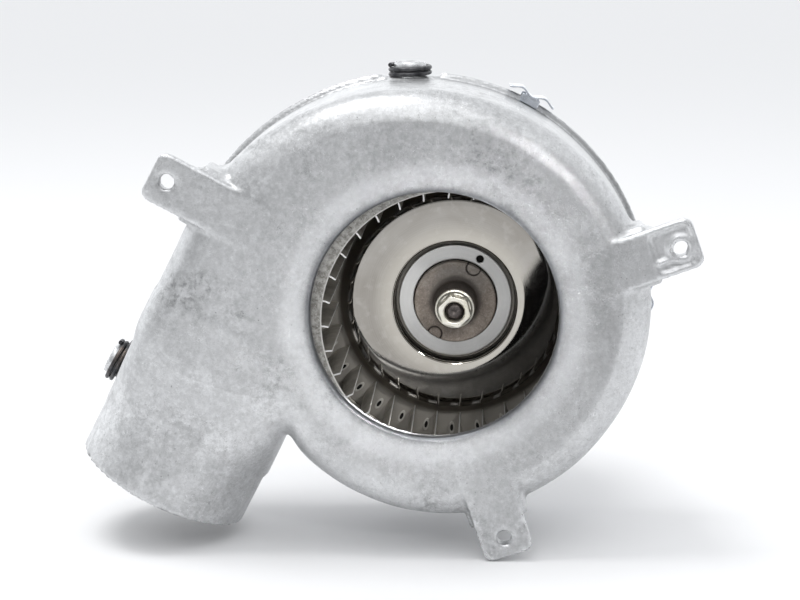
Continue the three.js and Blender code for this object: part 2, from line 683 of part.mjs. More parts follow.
// ---------------------------------------------------------------- stator
const STATOR_X = 30;             // half width
const STATOR_Z0 = -27;
const STATOR_Z1 = 48;
const LEG_X = 18;                // inner sides of the two upright legs
const COIL_BAR_Z0 = 34;
const COIL_BAR_Z1 = 46;
// degrees of the two slots that each shading ring passes through
const SHADING_SLOTS = { right: [20, 62], left: [200, 242] };
const TIES = [[-TIE_X, 0], [TIE_X, 0]];

function makeStator() {
  const corner = 5;
  const [y0, y1] = [STACK_Y0 - 1, STACK_Y1 + 1];
  const frame = plate([
    [-STATOR_X, STATOR_Z0 + corner], [-STATOR_X + corner, STATOR_Z0],
    [STATOR_X - corner, STATOR_Z0], [STATOR_X, STATOR_Z0 + corner],
    [STATOR_X, STATOR_Z1], [LEG_X, STATOR_Z1], [LEG_X, 23.2],
    [-LEG_X, 23.2], [-LEG_X, STATOR_Z1], [-STATOR_X, STATOR_Z1],
  ], STACK_Y0, STACK_Y1);
  const slotAngles = [...SHADING_SLOTS.right, ...SHADING_SLOTS.left];
  return cut(
    frame,
    cylinder(AXIS, STATOR_BORE_R, y0, y1, 36),
    box(-1.5, 1.5, y0, y1, -22.2, -17),
    box(-1.5, 1.5, y0, y1, 17, 21.8),
    ...slotAngles.map((deg) => bar(deg, 16, 22.4, -1.35, 1.35, y0, y1)),
    ...TIES.map((tie) => cylinder(tie, 2.35, y0, y1, 12)),
  );
}
add('stator_core', makeStator(), FINISHES.laminations);

const coilBarX = LEG_X - GAP;
add('stator_coil_bar',
  box(-coilBarX, coilBarX, STACK_Y0, STACK_Y1, COIL_BAR_Z0, COIL_BAR_Z1), FINISHES.laminations);

// ---------------------------------------------------------------- coil
const BOBBIN_X = 17.4;           // half length
const BOBBIN_WALL = 1.4;
const CHEEK_X = BOBBIN_X - BOBBIN_WALL;   // inner faces of the end cheeks
const TAB_Z0 = 57.6;
const TAB_Z1 = 58.4;

// Box round the coil bar, `margin` beyond it in Y and Z
function aroundBar(halfX, margin) {
  return box(-halfX, halfX, STACK_Y0 - margin, STACK_Y1 + margin,
    COIL_BAR_Z0 - margin, COIL_BAR_Z1 + margin);
}

function makeBobbin() {
  const cheek = (x0, x1) => box(x0, x1, STACK_Y0 - 9.6, STACK_Y1 + 9.6, 23.9, 56.4);
  const body = join(
    aroundBar(BOBBIN_X, BOBBIN_WALL),
    cheek(-BOBBIN_X, -CHEEK_X),
    cheek(CHEEK_X, BOBBIN_X),
    box(-BOBBIN_X, BOBBIN_X, STACK_Y1 + 1.0, STACK_Y1 + 9.6, 56.0, 60.0),
  );
  // each tab's pocket is wide, with a narrower part that runs a little deeper
  const pocket = (x0, x1, y0) => box(x0, x1, y0, STACK_Y1 + 20, TAB_Z0 - GAP, TAB_Z1 + GAP);
  return cut(
    body,
    aroundBar(30, GAP),
    pocket(-8.6, -4.9, STACK_Y1 + 3),
    pocket(4.9, 8.6, STACK_Y1 + 3),
    pocket(-11.0, -4.0, STACK_Y1 + 3.4),
    pocket(4.0, 11.0, STACK_Y1 + 3.4),
  );
}
add('coil_bobbin', makeBobbin(), FINISHES.bobbin);

// one block for all the turns, with its long edges bevelled
function makeWinding() {
  const [y0, y1] = [STACK_Y0 - 9.0, STACK_Y1 + 9.0];
  const [z0, z1] = [24.4, 55.7];
  const bevel = 3.2;
  const halfX = CHEEK_X - GAP;
  const profile = [               // [y, z]
    [y0 + bevel, z0], [y1 - bevel, z0], [y1, z0 + bevel], [y1, z1 - bevel],
    [y1 - bevel, z1], [y0 + bevel, z1], [y0, z1 - bevel], [y0, z0 + bevel],
  ];
  const block = prism(profile, 2 * halfX, [[0, 1, 0], [0, 0, 1], [1, 0, 0]], [-halfX, 0, 0]);
  return cut(block, aroundBar(30, BOBBIN_WALL + GAP));
}
add('coil_winding', makeWinding(), FINISHES.winding);

[-7.5, 7.5].forEach((x, i) => {
  const tab = box(x - 3.15, x + 3.15, STACK_Y1 + 3.8, STACK_Y1 + 17.4, TAB_Z0, TAB_Z1);
  add(`terminal_tab_${i + 1}`, tab, FINISHES.tab);
});

// ---------------------------------------------------------------- shading rings
// closed copper loops, each through two slots of a pole
function shadingRing([deg0, deg1]) {
  const innerR = 19.6;
  const outerR = 21.8;
  const overlap = 2.7;           // degrees of the end arcs past the bars
  const [y0, y1] = [STACK_Y0 - 2.2, STACK_Y1 + 2.2];
  const angles = [0, 1, 2, 3, 4, 5].map((i) => (
    deg0 - overlap + (deg1 - deg0 + 2 * overlap) * i / 5));
  const arc = [
    ...angles.map((deg) => polar(outerR, deg)),
    ...angles.map((deg) => polar(innerR, deg)).reverse(),
  ];
  return join(
    bar(deg0, innerR, outerR, -1.0, 1.0, y0 + 0.2, y1 - 0.2),
    bar(deg1, innerR, outerR, -1.0, 1.0, y0 + 0.2, y1 - 0.2),
    plate(arc, y0, STACK_Y0 - 0.4),
    plate(arc, STACK_Y1 + 0.4, y1),
  );
}
for (const [side, slots] of Object.entries(SHADING_SLOTS)) {
  add(`shading_ring_${side}`, shadingRing(slots), FINISHES.copper);
}

// ---------------------------------------------------------------- bearing brackets
const BEARING_BOSS_R = 10.5;
const BEARING_HOLE_R = 5.5;

// three arms to the cover posts, and a crossbar with feet on the stator
function makeFrontBracket() {
  const [y0, y1] = [FRONT_BRACKET_Y0, FRONT_BRACKET_Y1];
  const arms = POST_ANGLES.flatMap((deg) => [
    bar(deg, 0, POST_R, -4.2, 4.2, y0, y1),
    cylinder(polar(POST_R, deg), 6.2, y0, y1, 12),
  ]);
  const body = join(
    cylinder(AXIS, BEARING_BOSS_R, 74.2, y1, 16),
    ...arms,
    box(-TIE_X, TIE_X, y0, y1, -4.6, 4.6),
    ...TIES.map((tie) => cylinder(tie, 4.6, y0, STACK_Y0 - GAP, 12)),
  );
  return cut(
    body,
    cylinder(AXIS, BEARING_HOLE_R, 70, 90, 14),
    ...TIES.map((tie) => cylinder(tie, 2.35, 70, 90, 10)),
    ...POST_ANGLES.map((deg) => cylinder(polar(POST_R, deg), 2.5, 70, 90, 10)),
  );
}
add('front_bearing_bracket', makeFrontBracket(), FINISHES.castBracket);

function makeRearBracket() {
  const [y0, y1] = [REAR_BRACKET_Y0, REAR_BRACKET_Y1];
  const body = join(
    cylinder(AXIS, BEARING_BOSS_R, y0, 116.6, 16),
    box(-TIE_X, TIE_X, y0, y1, -5, 5),
    ...TIES.map((tie) => cylinder(tie, 5.0, STACK_Y1 + GAP, y1, 12)),
  );
  return cut(
    body,
    cylinder(AXIS, BEARING_HOLE_R, 100, 130, 14),
    ...TIES.map((tie) => cylinder(tie, 2.35, 100, 130, 10)),
  );
}
add('rear_bearing_bracket', makeRearBracket(), FINISHES.castBracket);

function bush(y0, y1) {
  const outerR = BEARING_HOLE_R - GAP;
  return turned([
    [SHAFT_BORE_R, y0], [4.6, y0], [outerR, y0 + 0.8],
    [outerR, y1 - 0.8], [4.6, y1], [SHAFT_BORE_R, y1],
  ], 14);
}
add('front_bearing_bush', bush(74.4, 80.0), FINISHES.bush);
add('rear_bearing_bush', bush(108.6, 116.2), FINISHES.bush);
add('thrust_washer_front', washer(SHAFT_BORE_R, 6.4, 80.6, 81.4, 14), FINISHES.washer);
add('thrust_washer_rear', washer(SHAFT_BORE_R, 6.4, 107.0, 107.8, 14), FINISHES.washer);

// ---------------------------------------------------------------- motor fasteners
// Screw along Y with its head at the rear, a cross slot in the head
function screw([x, z], { tipY, shankEndY, headY0, headY1, headRearR }) {
  const [slotY0, slotY1] = [headY1 - 1, headY1 + 1];
  return cut(
    join(
      cylinder([x, z], 2.0, tipY, shankEndY, 10),
      cylinder([x, z], 3.7, headY0, headY1, 12, headRearR),
    ),
    box(x - 0.5, x + 0.5, slotY0, slotY1, z - 3.4, z + 3.4),
    box(x - 3.4, x + 3.4, slotY0, slotY1, z - 0.5, z + 0.5),
  );
}

['left', 'right'].forEach((side, i) => {
  const tie = TIES[i];
  // the left head sits further back, on the earth tab
  add(`motor_screw_${side}`, screw(tie, {
    tipY: 73.0,
    shankEndY: REAR_BRACKET_Y1 + 2.4,
    headY0: REAR_BRACKET_Y1 + (side === 'left' ? 1.5 : GAP),
    headY1: REAR_BRACKET_Y1 + 3.4,
    headRearR: 3.3,
  }), FINISHES.fastener);
  const nutY1 = FRONT_BRACKET_Y0 - GAP;
  const nut = cut(cylinder(tie, 4.0, nutY1 - 2.8, nutY1, 6), cylinder(tie, 2.3, 70, 80, 12));
  add(`motor_nut_${side}`, nut, FINISHES.fastener);
});

// earth tab under the left screw's head
function makeEarthTab() {
  const [y0, y1] = [REAR_BRACKET_Y1 + 0.3, REAR_BRACKET_Y1 + 1.1];
  return cut(
    join(
      cylinder([-TIE_X, 0], 4.4, y0, y1, 14),
      box(-TIE_X - 3.15, -TIE_X + 3.15, y0, y1, -13.5, 0),
    ),
    cylinder([-TIE_X, 0], 2.4, 105, 125, 16),
    cylinder([-TIE_X, -11.2], 0.8, 105, 125, 12),
  );
}
add('earth_tab', makeEarthTab(), FINISHES.tab);

// damper between a cover post and the front bracket
function damper(centre) {
  const [y0, y1] = [POST_END_Y + GAP, FRONT_BRACKET_Y0 - GAP];
  return turned([
    [2.5, y0], [6.4, y0], [7.0, y0 + 0.7], [7.0, y1 - 0.7], [6.4, y1], [2.5, y1],
  ], 12, centre);
}
POST_ANGLES.forEach((deg, i) => {
  const post = polar(POST_R, deg);
  add(`motor_damper_${i + 1}`, damper(post), FINISHES.rubber);
  add(`motor_mount_screw_${i + 1}`, screw(post, {
    tipY: 65.5,
    shankEndY: FRONT_BRACKET_Y1 + 1.4,
    headY0: FRONT_BRACKET_Y1 + GAP,
    headY1: FRONT_BRACKET_Y1 + 2.9,
    headRearR: 3.2,
  }), FINISHES.fastener);
});

// ---------------------------------------------------------------- retaining springs
const WIRE_R = 0.75;
const COIL_R = 6.65;             // mean radius
const COIL_TURNS = 2;
const COIL_PITCH = 1.62;
const COIL_HEIGHT = 1.35;        // first turn above the wall

// Round wire along a path
function wire(points, radius, steps, sides) {
  const vectors = points.map((point) => new THREE.Vector3(...point));
  const extrudePath = new THREE.CatmullRomCurve3(vectors, false, 'centripetal');
  const circle = new THREE.Shape();
  circle.absarc(0, 0, radius, 0, Math.PI * 2, false);
  const section = new THREE.Shape(circle.getSpacedPoints(sides).slice(0, sides));
  const options = { steps, extrudePath, bevelEnabled: false };
  return toManifold(new THREE.ExtrudeGeometry(section, options));
}

// Turns of wire round a cast peg; one end is cut off pointing forward, the other leg runs back
// over the joint and lies on the rear cover. side: -1 or 1, the leg's side of the peg.
// tail: [along the wall, height] of the points on the cover.
function retainingSpring(peg, side, tail) {
  const legX = side * COIL_R;
  const backY = COVER_Y1 + GAP + WIRE_R + 0.25 - peg.base[1];
  const points = [
    ...tail.map(([along, height]) => pegPoint(peg, along, backY, height)),
    pegPoint(peg, legX, backY - 0.7, COIL_HEIGHT - 0.1),
    pegPoint(peg, legX, backY * 0.55, COIL_HEIGHT),
    pegPoint(peg, legX, 2.0, COIL_HEIGHT),
  ];
  const steps = 24;
  for (let i = 0; i <= steps; i++) {
    const turn = (i / steps) * COIL_TURNS;
    const angle = turn * 2 * Math.PI;
    const height = COIL_HEIGHT + COIL_PITCH * turn;
    points.push(pegPoint(peg, legX * Math.cos(angle), -COIL_R * Math.sin(angle), height));
  }
  points.push(pegPoint(peg, legX, -2.4, COIL_HEIGHT + COIL_PITCH * COIL_TURNS));
  return wire(points, WIRE_R, 46, 6);
}
add('retaining_spring_top', retainingSpring(PEG_TOP, -1, [
  [-COIL_R + 2.2, -6.8], [-COIL_R + 0.9, -3.0], [-COIL_R + 0.2, -0.2],
]), FINISHES.springWire);
add('retaining_spring_left', retainingSpring(PEG_LEFT, 1, [
  [COIL_R + 18, -4.5], [COIL_R + 6, -1.0], [COIL_R + 1.2, 1.0],
]), FINISHES.springWire);

// ---------------------------------------------------------------- rim clips
// spring-steel strips with two bows, laid over the joint, with a lip in front of the flange
// and one behind the cover
function rimClip(deg) {
  const { point, normal } = rimPoint(deg, FLANGE_OUT);
  const halfLength = 8.6;
  const thickness = 0.7;
  const [y0, y1] = [FLANGE_Y - 1.3, COVER_Y1 + 1.1];
  const lipThickness = 0.8;
  // [along the rim, height off it] to [x, z]
  const place = ([along, height]) => [
    point[0] - normal[1] * along + normal[0] * height,
    point[1] + normal[0] * along + normal[1] * height,
  ];
  const bottom = Array.from({ length: 9 }, (_, i) => {
    const part = i / 8;
    const height = 0.75 + 1.5 * Math.sin(2 * Math.PI * part) ** 2;
    return [halfLength * (2 * part - 1), height];
  });
  const top = bottom.map(([along, height]) => [along, height + thickness]).reverse();
  const lip = (lipY, reach) => plate(
    [[-3.4, -reach], [3.4, -reach], [3.4, 1.2], [-3.4, 1.2]].map(place),
    lipY,
    lipY + lipThickness,
  );
  return join(
    plate([...bottom, ...top].map(place), y0, y1),
    lip(y0, 1.7),
    lip(y1 - lipThickness, 4.2),
  );
}
add('rim_clip_upper', rimClip(70), FINISHES.clipSteel);
add('rim_clip_right', rimClip(2.5), FINISHES.clipSteel);
add('rim_clip_bottom', rimClip(-62), FINISHES.clipSteel);

group.position.y = -SHAFT_NOSE;

export default group;
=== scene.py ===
# A centrifugal blower: a cast scroll housing with an open inlet, a bladed impeller inside it
# and a small shaded-pole motor behind.
# In the frame the shaft lies along Y with its nose at the origin: +Y runs back to the motor,
# +X is right, +Z is up, and the outlet duct runs down at the lower left.
# Pieces are drawn in millimetres, with y measured back from the plane of the lug faces.

import math
from functools import cached_property

import bmesh
import bpy
import numpy as np
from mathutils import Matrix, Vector


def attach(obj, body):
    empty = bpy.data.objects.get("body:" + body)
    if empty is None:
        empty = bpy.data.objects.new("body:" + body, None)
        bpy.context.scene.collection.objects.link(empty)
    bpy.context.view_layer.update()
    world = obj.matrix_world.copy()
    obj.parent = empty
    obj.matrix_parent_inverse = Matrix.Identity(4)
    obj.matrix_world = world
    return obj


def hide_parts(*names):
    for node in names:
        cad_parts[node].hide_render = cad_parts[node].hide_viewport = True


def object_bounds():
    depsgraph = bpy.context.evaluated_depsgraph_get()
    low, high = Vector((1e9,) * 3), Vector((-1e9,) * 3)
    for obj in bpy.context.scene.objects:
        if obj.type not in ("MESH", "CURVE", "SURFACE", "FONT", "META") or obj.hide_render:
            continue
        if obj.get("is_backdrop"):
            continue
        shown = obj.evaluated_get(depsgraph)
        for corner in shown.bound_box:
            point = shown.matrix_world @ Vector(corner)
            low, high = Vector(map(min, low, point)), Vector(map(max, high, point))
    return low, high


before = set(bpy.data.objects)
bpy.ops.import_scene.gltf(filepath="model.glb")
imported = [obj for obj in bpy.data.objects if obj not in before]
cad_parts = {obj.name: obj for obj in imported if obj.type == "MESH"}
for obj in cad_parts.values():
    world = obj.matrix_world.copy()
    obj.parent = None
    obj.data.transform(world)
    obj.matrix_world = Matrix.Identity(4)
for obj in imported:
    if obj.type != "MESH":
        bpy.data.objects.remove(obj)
cad_lo, cad_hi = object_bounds()

MM = 0.001
pi = math.pi
rad = math.radians
F32 = np.float32

# ------------------------------------------------------------------ driving dimensions
NOSE = 30.9                                # shaft's nose, back from the lug faces
WALL, DEPTH, SHOULDER, FACE_Y = 3.0, 58.0, 11.0, 0.25
FLANGE_OUT, FLANGE_Y = 2.3, 54.5           # rear flange: overhang and front face
COVER_Y0, COVER_Y1 = 59.4, 61.9            # rear cover: front and back faces
TOP_WALL = 77.0                            # height of the housing's wall under the top peg
INLET_R, INLET_CENTRE = 40.0, (-6.0, 4.4)
SPIGOT_R, SPIGOT_BORE = 30.0, 27.2
OUTLET = (-99.6, 30.0, -59.5)              # centre of the duct's open end
LEAN = rad(27.0)                           # the duct's lean from upright
ALONG = (math.sin(LEAN), math.cos(LEAN))   # (x, z) from the open end into the housing
ACROSS = (math.cos(LEAN), -math.sin(LEAN))
WHEEL_R, RING_R, BLADE_IN, BLADES = 55.0, 43.4, 41.2, 32
BLADE_TURN = 0.0404                        # angle of the first blade, radians
SHAFT_R = 3.0
BORE_R = SHAFT_R + 0.3                     # bores of the pieces on the shaft


def ring_places(radius, angles):
    """(x, z) of places round the shaft, at angles in degrees from +X towards +Z."""
    return [(radius * math.cos(rad(a)), radius * math.sin(rad(a))) for a in angles]


POST_R, POST_ANGLES = 37.0, (30, 150, 270)
POSTS = ring_places(POST_R, POST_ANGLES)
HUB_MARKS = ring_places(13.3, (62, 238))   # ring marks in the hub's front face
HUB_MARK_R = 2.45


# ------------------------------------------------------------------ the scroll's outline
def duct_point(along, across):
    """(x, z) of a place on the duct."""
    return (OUTLET[0] + along * ALONG[0] + across * ACROSS[0],
            OUTLET[2] + along * ALONG[1] + across * ACROSS[1])


# (angle in degrees, radius) about the shaft
SPIRAL = [
    (-146, 66.0), (-139, 66.4), (-131, 66.0), (-120, 65.4), (-105, 64.7), (-88, 63.9),
    (-70, 62.6), (-50, 61.8), (-30, 61.7), (-13, 62.7), (0, 63.8), (12, 65.0), (27, 66.0),
    (43, 67.4), (60, 69.7), (77, 72.7), (94, 76.3), (110, 80.3), (123, 83.6), (136, 87.2),
    (147, 90.1),
]
TURN = (53, -17.2, 13)                     # arc into the duct: along, across, radius
control = [(r * math.cos(rad(a)), r * math.sin(rad(a))) for a, r in SPIRAL]
control += [duct_point(along, -30.2) for along in (92, 76, 60)]
control += [duct_point(TURN[0] - TURN[2] * math.sin(rad(a)), TURN[1] - TURN[2] * math.cos(rad(a)))
            for a in (10, 35, 60, 85)]
control += [duct_point(40.6, -6), duct_point(42.6, 8), duct_point(44.2, 20)]


def spline_span(p0, p1, p2, p3, steps):
    """Points from p1 up to p2 on a centripetal spline."""
    d0, d1, d2 = (max(1e-4, math.sqrt(np.linalg.norm(end - start)))
                  for start, end in ((p0, p1), (p1, p2), (p2, p3)))
    leave = ((p1 - p0) / d0 - (p2 - p0) / (d0 + d1) + (p2 - p1) / d1) * d1
    arrive = ((p2 - p1) / d1 - (p3 - p1) / (d1 + d2) + (p3 - p2) / d2) * d1
    square = -3 * p1 + 3 * p2 - 2 * leave - arrive
    cube = 2 * p1 - 2 * p2 + leave + arrive
    return [p1 + leave * t + square * t * t + cube * t ** 3
            for t in (k / steps for k in range(steps))]


def closed_spline(points, steps=28):
    points, count, out = np.array(points, float), len(points), []
    for i in range(count):
        out += spline_span(*(points[(i + k) % count] for k in (-1, 0, 1, 2)), steps)
    return np.array(out)


OUTLINE = closed_spline(control)


def outline_offset(offset, count):
    """Evenly spaced points on the outline, moved outwards by the offset."""
    lengths = np.linalg.norm(np.roll(OUTLINE, -1, 0) - OUTLINE, axis=1)
    travelled = np.concatenate([[0], np.cumsum(lengths)])
    at = np.linspace(0, travelled[-1], count, endpoint=False)
    loop = np.concatenate([OUTLINE, OUTLINE[:1]])
    points = np.stack([np.interp(at, travelled, loop[:, i]) for i in (0, 1)], 1)
    tangent = np.roll(points, -1, 0) - np.roll(points, 1, 0)
    tangent /= np.linalg.norm(tangent, axis=1)[:, None]
    return points + offset * np.stack([tangent[:, 1], -tangent[:, 0]], 1)


# ------------------------------------------------------------------ distance fields
# A field is negative inside a solid. Its x, y and z are arrays that broadcast together.
def polygon_distance(x, z, polygon):
    x, z = np.broadcast_arrays(x.astype(F32), z.astype(F32))
    nearest = np.full(x.shape, 1e12, F32)
    inside = np.zeros(x.shape, bool)
    for start, end in zip(polygon, np.roll(polygon, -1, 0)):
        x0, z0 = (float(value) for value in start)
        x1, z1 = (float(value) for value in end)
        run, rise = x1 - x0, z1 - z0
        from_x, from_z = x - x0, z - z0
        part = np.clip((from_x * run + from_z * rise) / (run * run + rise * rise + 1e-12), 0, 1)
        off_x, off_z = from_x - run * part, from_z - rise * part
        np.minimum(nearest, off_x * off_x + off_z * off_z, out=nearest)
        if z0 != z1:
            inside ^= ((z0 > z) != (z1 > z)) & (x < run * (z - z0) / rise + x0)
    distance = np.sqrt(nearest)
    return np.where(inside, -distance, distance)


outline_cache = {}


def outline_distance(x, z):
    """Distance to the scroll's outline, kept because the same grid is asked for again."""
    key = (x.shape, z.shape, float(x.sum()), float(z.sum()))
    if key not in outline_cache:
        if len(outline_cache) > 6:
            outline_cache.clear()
        outline_cache[key] = polygon_distance(x, z, OUTLINE)
    return outline_cache[key]


def join(one, two, width):
    """Union, blended over a width."""
    share = np.clip(0.5 + 0.5 * (two - one) / width, 0, 1)
    return two + (one - two) * share - width * share * (1 - share)


def common(one, two, width):
    """Intersection, blended over a width."""
    return -join(-one, -two, width)


def carve(body, tool, width):
    """The body with the tool taken away, blended over a width."""
    return -join(-body, tool, width)


def round_and(one, two, radius):
    """Intersection with its outer corner rounded."""
    over_one, over_two = np.maximum(one + radius, 0), np.maximum(two + radius, 0)
    inner = np.minimum(np.maximum(one, two), -radius)
    return inner + np.sqrt(over_one * over_one + over_two * over_two)


def slab(y, y0, y1):
    return np.abs(y - (y0 + y1) / 2) - (y1 - y0) / 2


def rect(u, v, u0, u1, v0, v1, radius=0.0):
    """Rectangle with rounded corners."""
    over_u = np.abs(u - (u0 + u1) / 2) - (u1 - u0) / 2 + radius
    over_v = np.abs(v - (v0 + v1) / 2) - (v1 - v0) / 2 + radius
    outer = np.sqrt(np.maximum(over_u, 0) ** 2 + np.maximum(over_v, 0) ** 2)
    return outer + np.minimum(np.maximum(over_u, over_v), 0) - radius


def dist(x, z, centre_x=0.0, centre_z=0.0):
    return np.sqrt((x - centre_x) ** 2 + (z - centre_z) ** 2)


def turned_axes(x, z, angle):
    """Coordinates out along a direction (degrees from +X towards +Z) and to its side."""
    cosine, sine = math.cos(rad(angle)), math.sin(rad(angle))
    return x * cosine + z * sine, -x * sine + z * cosine


def smoothstep(x, start, end):
    t = np.clip((x - start) / (end - start), 0, 1)
    return t * t * (3 - 2 * t)


# ------------------------------------------------------------------ surfaces from fields
def add_up(index, weights, count):
    return np.bincount(index, weights, count)


def convexity(verts, quads):
    """How far each vertex stands proud of its neighbours: about 0.8 on a square edge, 0 flat."""
    count = len(verts)
    first, second, third, fourth = (verts[quads[:, i]] for i in range(4))
    face_normals = np.cross(third - first, fourth - second)
    normals = np.zeros_like(verts)
    for i in range(4):
        for k in range(3):
            normals[:, k] += add_up(quads[:, i], face_normals[:, k], count)
    normals /= np.maximum(np.linalg.norm(normals, axis=1), 1e-9)[:, None]
    edges = [(quads[:, i], quads[:, (i + 1) % 4]) for i in range(4)]
    total, uses = np.zeros(count), np.zeros(count)
    for one, two in edges:
        for here, there in ((one, two), (two, one)):
            edge = verts[there] - verts[here]
            length = np.maximum(np.linalg.norm(edge, axis=1), 1e-6)
            total += add_up(here, -(edge * normals[here]).sum(1) / length, count)
            uses += np.bincount(here, minlength=count)
    value = total / np.maximum(uses, 1)
    near, uses = value * 2, np.full(count, 2.0)
    for one, two in edges:
        near += add_up(one, value[two], count) + add_up(two, value[one], count)
        uses += np.bincount(one, minlength=count) + np.bincount(two, minlength=count)
    return (near / uses * 2.6).astype(F32)


def crossing_vertices(grid, cells):
    """One vertex per cell, at the mean of the crossings on its edges, in grid units."""
    corners = [(i, j, k) for i in (0, 1) for j in (0, 1) for k in (0, 1)]
    values = {c: grid[cells[:, 0] + c[0], cells[:, 1] + c[1], cells[:, 2] + c[2]]
              for c in corners}
    total, uses = np.zeros((len(cells), 3), F32), np.zeros(len(cells), F32)
    for start in corners:
        for axis in range(3):
            if start[axis]:
                continue
            end = tuple(1 if i == axis else start[i] for i in range(3))
            at_start, at_end = values[start], values[end]
            hit = (at_start < 0) != (at_end < 0)
            part = np.where(hit, at_start / np.where(hit, at_start - at_end, 1), 0)
            for i in range(3):
                total[:, i] += np.where(hit, start[i] + (part if i == axis else 0), 0)
            uses += hit
    return cells + total / np.maximum(uses, 1)[:, None]


def crossing_quads(inside, vertex_ids):
    """A quad round every grid edge that crosses the surface."""
    quads = []
    for axis in range(3):
        near, far = [slice(1, -1)] * 3, [slice(1, -1)] * 3
        near[axis], far[axis] = slice(0, -1), slice(1, None)
        near_in, far_in = inside[tuple(near)], inside[tuple(far)]
        crossed = near_in != far_in
        edges = np.argwhere(crossed) + np.array([0 if i == axis else 1 for i in range(3)])
        inside_first = near_in[crossed]
        j, k = (axis + 1) % 3, (axis + 2) % 3
        ring = []
        for step_j, step_k in ((-1, -1), (0, -1), (0, 0), (-1, 0)):
            cell = edges.copy()
            cell[:, j] += step_j
            cell[:, k] += step_k
            ring.append(vertex_ids[cell[:, 0], cell[:, 1], cell[:, 2]])
        quad = np.stack(ring, 1)
        quad[~inside_first] = quad[~inside_first][:, ::-1]
        quads.append(quad)
    quads = np.concatenate(quads)
    return quads[(quads >= 0).all(1)]


def hollowness(grid, cells, step):
    """The field's curvature at a scale of 2.6 mm: negative in hollows."""
    reach = max(2, int(round(2.6 / step)))
    total = np.zeros(len(cells), F32)
    for axis in range(3):
        for shift in (-reach, reach):
            cell = cells.copy()
            cell[:, axis] = np.clip(cell[:, axis] + shift, 0, grid.shape[axis] - 1)
            total += grid[cell[:, 0], cell[:, 1], cell[:, 2]]
    here = grid[cells[:, 0], cells[:, 1], cells[:, 2]]
    return (total - 6 * here) / (reach * step) ** 2 * (reach * step)


def pull_to_surface(verts, field, step):
    """Moves vertices along the gradient to the surface, behind the lug faces."""
    probe = 0.12
    x, y, z = (verts[:, i].astype(F32) for i in range(3))
    here = np.asarray(field(x, y, z), F32)
    slope = np.stack([field(x + probe, y, z) - here, field(x, y + probe, z) - here,
                      field(x, y, z + probe) - here], 1) / probe
    steepness = np.maximum((slope * slope).sum(1), 0.2)
    move = np.clip(here / steepness, -0.35 * step, 0.35 * step)
    verts = verts - move[:, None] * slope
    verts[:, 1] = np.maximum(verts[:, 1], 0.02)
    return verts


def surface(field, low, high, step, refine=False):
    """The surface where a field is zero: vertices, quads, and (edge, hollow) per vertex."""
    counts = [int(math.ceil((high[i] - low[i]) / step)) + 1 for i in range(3)]
    x, y, z = ((low[i] + step * np.arange(counts[i])).astype(F32) for i in range(3))
    values = field(x[:, None, None], y[None, :, None], z[None, None, :])
    grid = np.ascontiguousarray(np.broadcast_to(values, counts), F32)
    inside = grid < 0
    sizes = [count - 1 for count in counts]
    filled = np.zeros(sizes, np.uint8)
    for i in (0, 1):
        for j in (0, 1):
            for k in (0, 1):
                filled += inside[i:i + sizes[0], j:j + sizes[1], k:k + sizes[2]]
    active = (filled > 0) & (filled < 8)
    cells = np.argwhere(active)
    vertex_ids = np.full(sizes, -1, np.int32)
    vertex_ids[active] = np.arange(len(cells))
    verts = np.array(low, F32) + step * crossing_vertices(grid, cells)
    quads = crossing_quads(inside, vertex_ids)
    if refine:
        verts = pull_to_surface(verts, field, step)
    return verts, quads, (convexity(verts, quads), hollowness(grid, cells, step))


# ------------------------------------------------------------------ making objects
def with_bmesh(mesh, merge=None):
    """Turns the faces outwards, after merging close vertices if a distance is given."""
    work = bmesh.new()
    work.from_mesh(mesh)
    if merge is not None:
        bmesh.ops.remove_doubles(work, verts=work.verts, dist=merge)
        bmesh.ops.dissolve_degenerate(work, dist=1e-8, edges=work.edges)
    bmesh.ops.recalc_face_normals(work, faces=work.faces)
    work.to_mesh(mesh)
    work.free()


def build(name, node, verts, faces, mat, slot, body="frame", sharp=None, marks=None, fix=False):
    """A mesh object in place of a CAD node; faces are an array of quads or a list."""
    places = np.array(verts, float)
    places[:, 1] -= NOSE
    places *= MM
    mesh = bpy.data.meshes.new(name)
    if isinstance(faces, np.ndarray):
        mesh.vertices.add(len(places))
        mesh.vertices.foreach_set("co", places.ravel())
        mesh.loops.add(faces.size)
        mesh.loops.foreach_set("vertex_index", faces.ravel().astype(np.int32))
        mesh.polygons.add(len(faces))
        starts = np.arange(0, faces.size, faces.shape[1], dtype=np.int32)
        mesh.polygons.foreach_set("loop_start", starts)
        mesh.update(calc_edges=True)
        mesh.validate()
    else:
        mesh.from_pydata([tuple(p) for p in places], [], [tuple(f) for f in faces])
        mesh.update()
    if fix:
        with_bmesh(mesh)
    mesh.polygons.foreach_set("use_smooth", [True] * len(mesh.polygons))
    if sharp is not None:
        mesh.set_sharp_from_angle(angle=rad(sharp))
    for key, values in zip(("edge", "hollow"), marks or ()):
        attribute = mesh.attributes.new(key, "FLOAT", "POINT")
        attribute.data.foreach_set("value", np.ascontiguousarray(values, F32))
    obj = bpy.data.objects.new(name, mesh)
    bpy.context.scene.collection.objects.link(obj)
    mesh.materials.append(mat)
    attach(obj, body)
    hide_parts(node)
    return obj


def build_field(name, node, field, low, high, step, mat, slot, body="frame", refine=False,
                sharp=None):
    verts, quads, marks = surface(field, low, high, step, refine)
    return build(name, node, verts, quads, mat, slot, body, sharp, marks)


